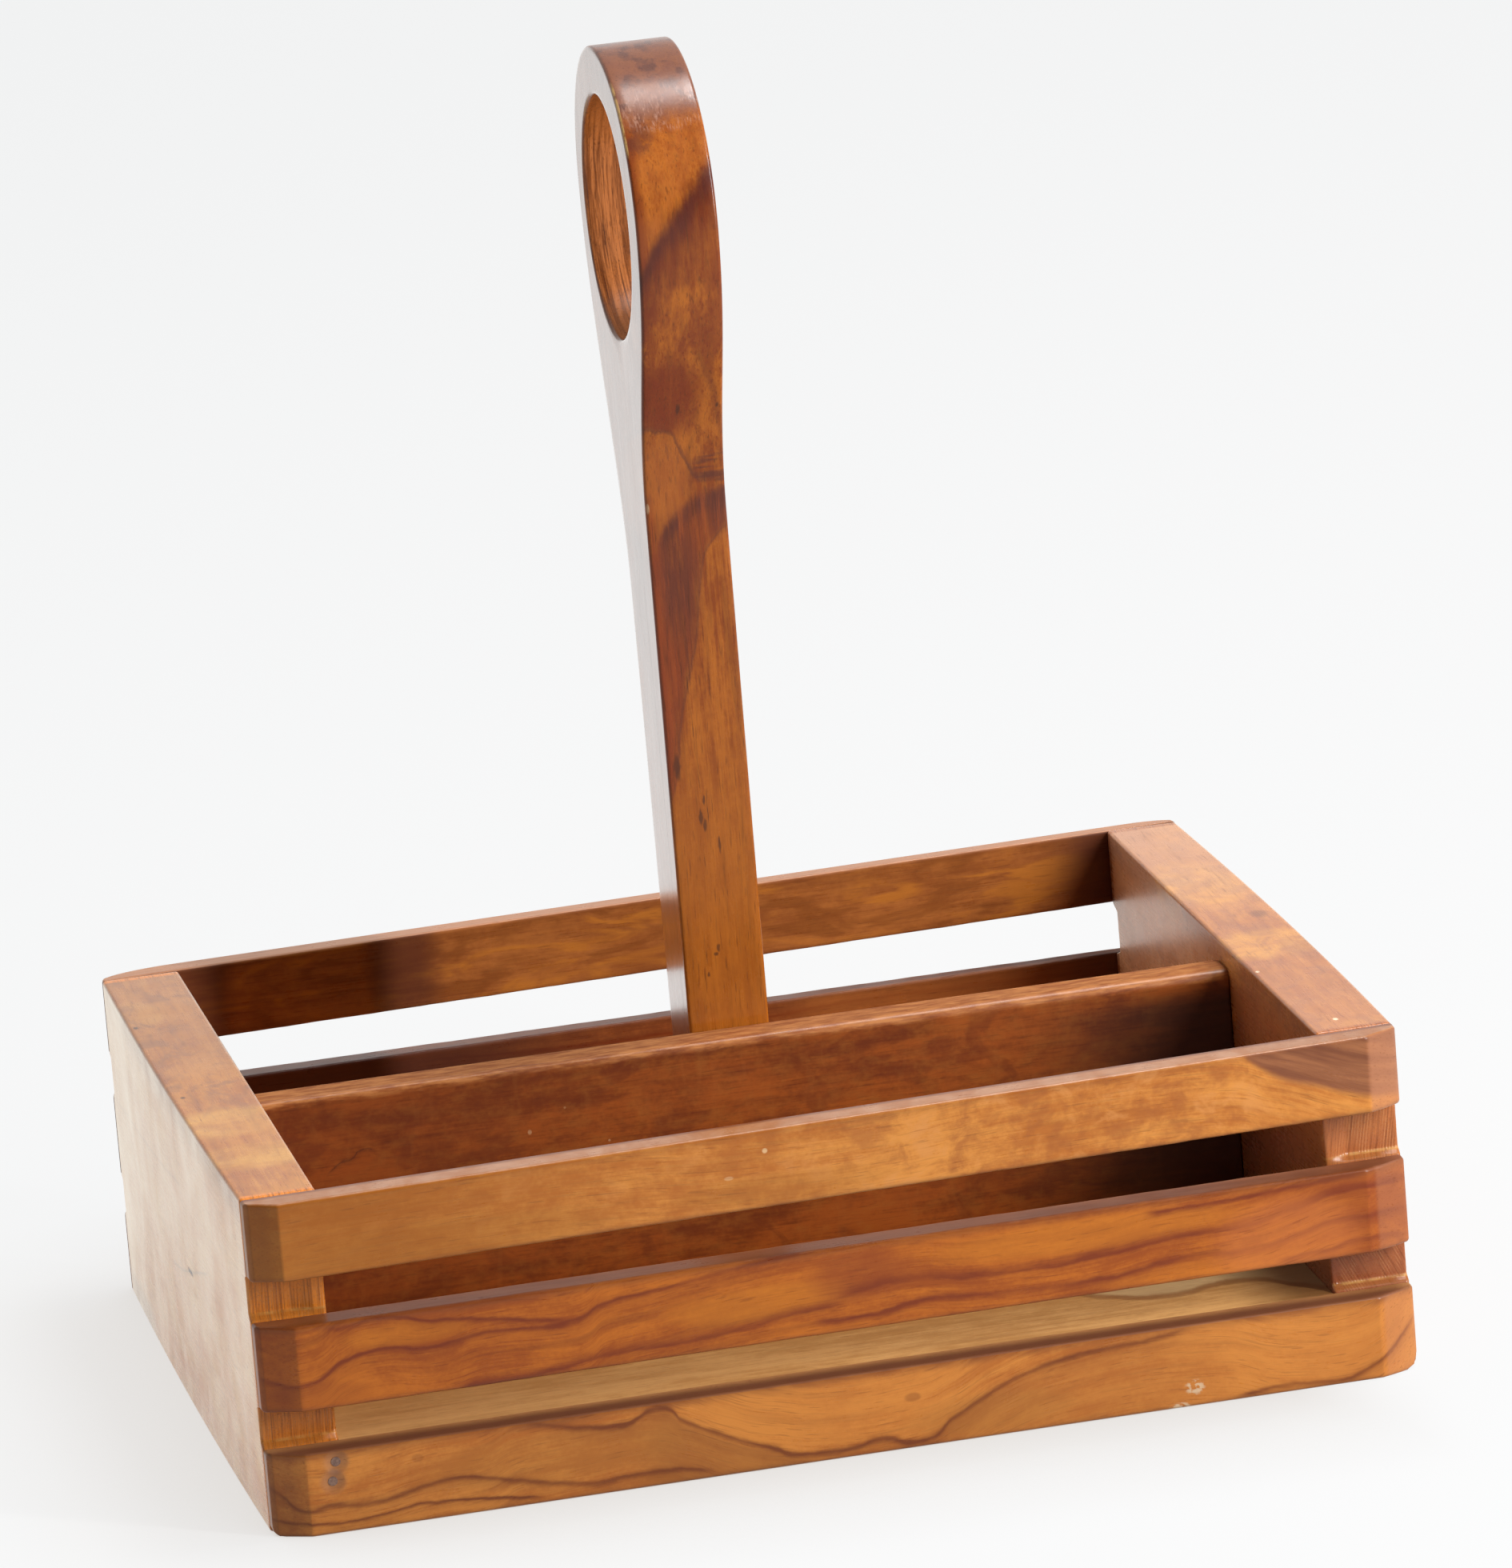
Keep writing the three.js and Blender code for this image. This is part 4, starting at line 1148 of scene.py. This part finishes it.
def stem(paint, colour, z, across, up, near, smoky):
    """Golden foot, and the smoky tongue that ends under an arch."""
    wave = 1.6 * (paint.noise((9, 9, 6), 153) - 0.5)
    tongue = (paint.level(z, TONGUE_EDGE) - across + wave).rise(-1, 2) * z.rise(110, 118)
    gap = paint.level(across, [(-11, 163), (-8.6, 166), (-7.5, 169), (-5.2, 171.9), (-2.6, 174), (0, 175.5),
                               (7, 176.8)]) - up
    under = gap.rise(-1.2, 1.8)
    core = paint.spots(across, up, (-5.4, 160, 4.6, 12), (4.6, 172, 4, 4.6, 0.8), edge=0.95)
    core = core + 0.9 * under * gap.fall(1.6, 5.5) * across.rise(-8, -5.5)
    threads = paint.noise((0.8, 9, 16), 154, 3, 0.6)
    margin = across.fall(-9.4, -7.2) * z.band(112, 120, 172, 180)
    return (colour
            .lay(0.5 * up.fall(100, 136), *GOLD)
            .lay((0.95 * tongue * under * smoky).at_most(0.9), *SMOKE_RED)
            .lay((0.58 * core * smoky).at_most(0.75), *PURPLE)
            .lay(0.5 * near * paint.vein(z, across, TONGUE_EDGE, 0.3, 0.5, 1.8), *PURPLE)
            .lay(0.5 * near * tongue * under * threads.rise(0.52, 0.7), 62, 30, 26)
            .lay(0.4 * tongue * under * threads.fall(0.3, 0.46), 160, 76, 30)
            .lay(0.6 * near * margin, 136, 60, 26))


def waist(paint, colour, z, across, up, near, smoky):
    """Tan patch, an arc over it with a brown cloud on top, thin strips, and patches above."""
    tan = paint.spots(across, up, (-6.2, 180.5, 5, 8.5), edge=0.7)
    slanted = paint.noise((0.9, 9, 5), 148)
    above = up - paint.level(across, [(-11, 190.6), (-8.6, 190.4), (-5, 189.5), (-3, 186), (-1.7, 183),
                                      (0.2, 179.8), (2.8, 178.7), (7, 178.8)])
    cloud = paint.spots(across, up, (-6, 197, 7, 8), edge=0.9) * above.rise(0, 1)
    hatch = paint.noise((9, 9, 0.9), 149)
    strips = paint.spots(across, up, (4, 181.5, 4.5, 3), edge=0.8) * hatch.rise(0.42, 0.6)
    streak = paint.vein(z, across, [(186, 6.2), (193, 5), (198, 4.2), (202, 2.7), (208, 0.4)], 1, 1, 1.6)
    patches = paint.noise((4, 9, 10), 144, 4, 0.6)
    return (colour
            .lay(0.6 * near * tan, 160, 88, 34)
            .lay(0.4 * tan * slanted.rise(0.56, 0.68), 104, 54, 32)
            .lay(0.55 * near * above.band(-1, 0.2, 0.4, 2.2), *PURPLE)
            .lay((0.95 * cloud * near * (0.4 + 0.6 * smoky)).at_most(0.9), 112, 45, 20)
            .lay(0.6 * strips, *PURPLE)
            .lay(0.6 * streak, 92, 40, 24)
            .lay(0.65 * near * z.band(196, 204, 222, 234) * patches.rise(0.4, 0.6), 112, 46, 20))


def head(paint, colour, z, across, up, near, smoky):
    """The dark band that climbs to the right, dim below it and bright above."""
    over = up - paint.level(across, [(-11, 222.6), (-10, 224), (-6.6, 229.3), (-3, 233.8), (0.6, 237.6),
                                     (4.5, 242.1), (7, 245)])
    return (colour
            .lay(0.85 * near * over.band(-17, -3, -1, 2) * (0.5 + 0.5 * smoky), 98, 38, 18)
            .lay(0.8 * near * over.band(-6, -1, -0.4, 3.6) * (0.5 + 0.5 * smoky), 78, 34, 26)
            .lay(0.4 * over.rise(1.5, 5) * z.fall(250, 256) * smoky, 176, 98, 40)
            .lay(0.7 * near * over.rise(0, 2) * across.fall(-9.6, -7.4) * z.fall(250, 256), 112, 44, 22))


def crown(paint, colour, x, z, across, up, near):
    """Soot and dust on the crown, pale dashes that are partly rubbed lacquer and partly a painted
    highlight, and lacquer worn off its left arris.
    """
    smudge = paint.noise((4, 5, 4), 145, 4, 0.6)
    soot = paint.spots(across, up, (-7.6, 250.5, 3.2, 3.4), edge=0.9) * smudge.rise(0.42, 0.58)
    dusty = near * up.rise(251, 256)
    dashes = paint.noise((0.35, 3, 1.3), 150)
    rubbed = paint.spots(across, z, (-1.5, 255.2, 11, 3.6), edge=0.7) * smudge.rise(0.38, 0.6)
    from_arris = x - (HANDLE_X - HANDLE_THICK / 2)
    rim = z.band(246.5, 249, 258.5, 260.5) * from_arris.band(0.02, 0.1, 0.4, 0.6)
    return (colour
            .lay(0.6 * soot, 84, 44, 36)
            .lay(0.75 * dusty, 116, 75, 60)
            .lay(0.6 * dusty * smudge.rise(0.5, 0.64), 76, 46, 42)
            # pale dashes: partly rubbed lacquer, partly a painted highlight
            .lay(0.5 * rubbed * dashes.rise(0.46, 0.66), 196, 150, 128)
            .lay(0.75 * rim * smudge.rise(0.36, 0.5), 216, 172, 104))


def marks(paint, colour, x, y, z):
    """Small knots, a pale dot and a crack behind the crown."""
    ragged = x + 0.8 * (paint.noise((0.8, 2, 1.4), 146, 3) - 0.5)
    crack = paint.vein(z, y, [(256, 16.6), (259, 17.2), (262, 16.8), (266, 17.4)], 0.2, 0.2, 0.4, 2)
    return (colour
            .lay(0.6 * paint.spots(x, z, (-9.8, 174.2, 0.3, 1)), 206, 170, 130)
            .lay((0.7 * paint.spots(ragged, z, *KNOTS, edge=0.8)).at_most(0.75), 62, 36, 24)
            .lay(0.8 * crack * x.fall(-9.6, -9.2), 90, 60, 50))


def in_eye(paint, y, z, margin):
    """Mask of the hand hole and a margin round it."""
    return paint.spots(y, z, (EYE_Y, EYE_Z, EYE_HALF_Y + margin, EYE_HALF_Z + margin), edge=0.02)


def eye_wall(paint, z, up):
    """Bare end grain with ribs and cracks, dark below and warm above."""
    ribs = paint.noise((0.8, 30, 16), 147, 4, 0.66)
    cracks = paint.noise((0.4, 30, 30), 151, 1)
    return (paint.mix(ribs.rise(0.36, 0.62), (116, 62, 28), (186, 112, 60))
            .lay(0.8 * cracks.rise(0.62, 0.7), 66, 32, 20)
            .lay(0.8 * up.fall(214, 226), 90, 58, 40)
            .lay(0.5 * z.rise(238, 250), 170, 96, 40))


def handle_figure(paint, colour, x, y, z):
    """All parts of the figure, on coordinates that waver and lean back with the front edge."""
    depth = y - paint.level(z, FRONT_LINE)
    across = x + 1.6 * (paint.noise((5, 9, 9), 141, 4, 0.62) - 0.5) + 0.34 * depth
    up = z + 4 * (paint.noise((4, 12, 7), 142, 4, 0.62) - 0.5) + 0.3 * depth
    near = 1 - 0.6 * depth.rise(3, 24)
    smoky = near * (1.9 * paint.noise((1.2, 9, 11), 143, 5, 0.7) - 0.05)
    for part in (stem, waist, head):
        colour = part(paint, colour, z, across, up, near, smoky)
    colour = marks(paint, crown(paint, colour, x, z, across, up, near), x, y, z)
    return colour.lay(in_eye(paint, y, z, 0.6), eye_wall(paint, z, up))


def handle_wax(paint, x, y, z):
    """The two flat faces are polished, the edges much less, and the hand hole hardly at all."""
    flat = (abs(x - HANDLE_X) - HANDLE_THICK / 2).rise(-0.3, -0.02)
    patchy = paint.noise((9, 4, 14), 152, 3, 0.6)
    polish = 0.2 + flat * (0.86 - 0.12 * z.rise(190, 240) + 0.3 * (patchy - 0.5))
    return polish * (1 - 0.75 * in_eye(paint, y, z, 0.3))


handle_finish = wood(
    "handle_wood", (168, 94, 28), (128, 60, 16), (74, 34, 14), along=2, seed=64, grain=1.4,
    figure=handle_figure, wax=handle_wax, film=(1.0, 0.97, 0.95))
add_piece("carrying_handle_wood", handle_points, handle_quads, handle_finish, "handle_wood",
          "carrying_handle")

# %% [markdown]
# ## Base panel and fixings
#
# The base is a paler, bare board, and only its top shows, so the CAD board keeps its place and gets
# the wood recipe with less lacquer. The brads and the hidden screw stay too, in dull steel.

# %% Base panel and fixings


def base_figure(paint, colour, x, y, z):
    """A vein at the front right with paler wood behind it, and shade toward the ends."""
    line = [(30, -58), (45, -52), (58, -61), (70, -66), (85, -63), (95, -70), (104, -79)]
    gap = wavering(paint, y, 152, 3) - paint.level(x, line)
    front = y.fall(-56, -30)
    return (colour
            .lay(0.6 * gap.rise(-0.5, 2.5) * x.rise(34, 50) * front, 180, 154, 112)
            .lay(0.7 * x.rise(80, 100) * front, 100, 58, 24)
            .lay(0.3 * front * x.fall(-70, 20), 140, 96, 50)
            .lay(0.6 * abs(gap).fall(0.6, 2.4) * x.rise(38, 52), 110, 66, 34))


def steel(name):
    """Dull steel: a metal whose grey and roughness vary with fine noise."""
    paint = Paint(bpy.data.materials.new(name))
    stain = paint.noise((0.5, 0.5, 0.5), 161, 3)
    colour = paint.mix(stain.rise(0.35, 0.7), (138, 108, 92), (110, 84, 74))
    shader = paint.node("ShaderNodeBsdfPrincipled", None, {
        "Base Color": colour, "Metallic": 0.35, "Roughness": 0.66 + 0.2 * (stain - 0.5)})
    paint.node("ShaderNodeOutputMaterial", None, {"Surface": shader})
    return paint.owner


base_finish = wood(
    "pale_base_wood", (198, 148, 88), (170, 120, 64), (126, 82, 42),
    seed=74, figure=base_figure, gloss=0.46, rings=0.2, wax=0.1, grain=1.3)
steel_finish = steel("dull_steel")
for node, finish in (("base_panel", base_finish), ("brad_upper", steel_finish),
                     ("brad_lower", steel_finish), ("handle_screw", steel_finish)):
    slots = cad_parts[node].data.materials
    slots.clear()
    slots.append(finish)
    print(f"{node}: {finish.name}")

# %% [markdown]
# ## Floor and light
#
# The photograph has a nearly white table and a tall, narrow light at the front right. It draws shadows
# that are sharp beside upright edges and fan out under level ones. A panel overhead lights the tops and
# the base, and a white wall at the left fills in the rest. The camera sees the floor as a pale tone
# with a faint painted contact shadow near the box and a little of the real shadow, and the wood
# reflects it as the white that it is.

# %% Floor
FLOOR_HALF = 12.0  # metres


def floor_finish():
    """Pale floor: an even tone for the camera and for reflections, with part of the real shadow, and for
    the camera a painted contact shadow near the box.
    """
    paint = Paint(bpy.data.materials.new("pale_floor"))
    x, y, _ = paint.place()
    white = paint.mix(0.55 * x.rise(-500, 500) + 0.45 * y.fall(200, 1500), (246, 247, 247), (252, 252, 252))
    # painted contact shadow: the camera's tone darkens near the box, but not to its right
    open_sky = paint.node("ShaderNodeAmbientOcclusion", {"samples": 8}, {"Distance": 0.06}, output="AO")
    clear = open_sky.at_least(x.rise(60, 118))
    soft = paint.node("ShaderNodeEmission", None, {"Color": paint.mix(clear, (216, 208, 200), white)})
    plain = paint.node("ShaderNodeEmission", None, {"Color": tone(247, 247, 247)})
    lit = paint.node("ShaderNodeBsdfDiffuse", None, {"Color": (0.5, 0.5, 0.5, 1)})
    shadow = paint.node("ShaderNodeBsdfDiffuse", None, {"Color": (0.64, 0.64, 0.64, 1)})
    seen = paint.node("ShaderNodeMixShader", None, {0: 0.1, 1: soft, 2: shadow})
    camera_ray = paint.node("ShaderNodeLightPath", output="Is Camera Ray")
    glossy_ray = paint.node("ShaderNodeLightPath", output="Is Glossy Ray")
    other = paint.node("ShaderNodeMixShader", None, {0: glossy_ray, 1: lit, 2: plain})
    shader = paint.node("ShaderNodeMixShader", None, {0: camera_ray, 1: other, 2: seen})
    paint.node("ShaderNodeOutputMaterial", None, {"Surface": shader})
    return paint.owner


floor_mesh = bpy.data.meshes.new("floor")
corners = FLOOR_HALF * np.array([(-1, -1, 0), (1, -1, 0), (1, 1, 0), (-1, 1, 0)])
floor_mesh.from_pydata(corners, [], [(0, 1, 2, 3)])
floor_mesh.materials.append(floor_finish())
floor = bpy.data.objects.new("floor", floor_mesh)
bpy.context.scene.collection.objects.link(floor)
print(f"floor: {2 * FLOOR_HALF:.0f} m wide")

# %% Lamps and world


def lamp(name, azimuth, elevation, distance, width, height, level):
    """A rectangular lamp aimed at the box; azimuth counts from the front to the right, and a white
    face turned straight to it would get `level` times the light at which it renders white."""
    azimuth, elevation = np.radians([azimuth, elevation])
    toward = Vector((
        np.sin(azimuth) * np.cos(elevation), -np.cos(azimuth) * np.cos(elevation), np.sin(elevation)))
    data = bpy.data.lights.new(name, "AREA")
    data.shape = "RECTANGLE"
    data.size, data.size_y = width, height
    data.energy = level * np.pi ** 2 * distance ** 2
    holder = bpy.data.objects.new(name, data)
    bpy.context.scene.collection.objects.link(holder)
    holder.visible_camera = False
    holder.matrix_world = Matrix.LocRotScale(toward * distance, toward.to_track_quat("Z", "Y"), None)
    print(f"{name}: {data.energy:.0f} W")


lamp("window_strip", 43.9, 29, 1.0, 0.045, 0.62, 1.16)
lamp("ceiling_panel", 95, 74, 2.0, 0.5, 0.5, 0.62)

SEEN_LEVEL, ROOM_LEVEL, WALL_LEVEL = 0.93, 0.07, 1.3  # the world as seen or mirrored, and as a light
world = bpy.data.worlds.new("white_room")
bpy.context.scene.world = world
room = Paint(world)
view = room.node("ShaderNodeTexCoord", output="Generated")
east, north = (room.node("ShaderNodeSeparateXYZ", None, {"Vector": view}, output=axis) for axis in (0, 1))
wall = (0.4 * north - 0.92 * east).rise(0, 0.8) * north.rise(-0.12, 0.2)
glossy_ray = room.node("ShaderNodeLightPath", output="Is Glossy Ray")
camera_ray = room.node("ShaderNodeLightPath", output="Is Camera Ray")
plain = camera_ray.at_least(glossy_ray * north.rise(-0.2, 0.2))
strength = plain * SEEN_LEVEL + (1 - plain) * (ROOM_LEVEL + WALL_LEVEL * wall)
shade = room.mix(plain.at_least(wall), (0.82, 0.96, 1.2, 1), (1, 1, 1, 1))
background = room.node("ShaderNodeBackground", None, {"Color": shade, "Strength": strength})
room.node("ShaderNodeOutputWorld", None, {"Surface": background})

bpy.context.scene.view_settings.view_transform = "Standard"
print(f"{world.name}: {len(room.tree.nodes)} nodes")
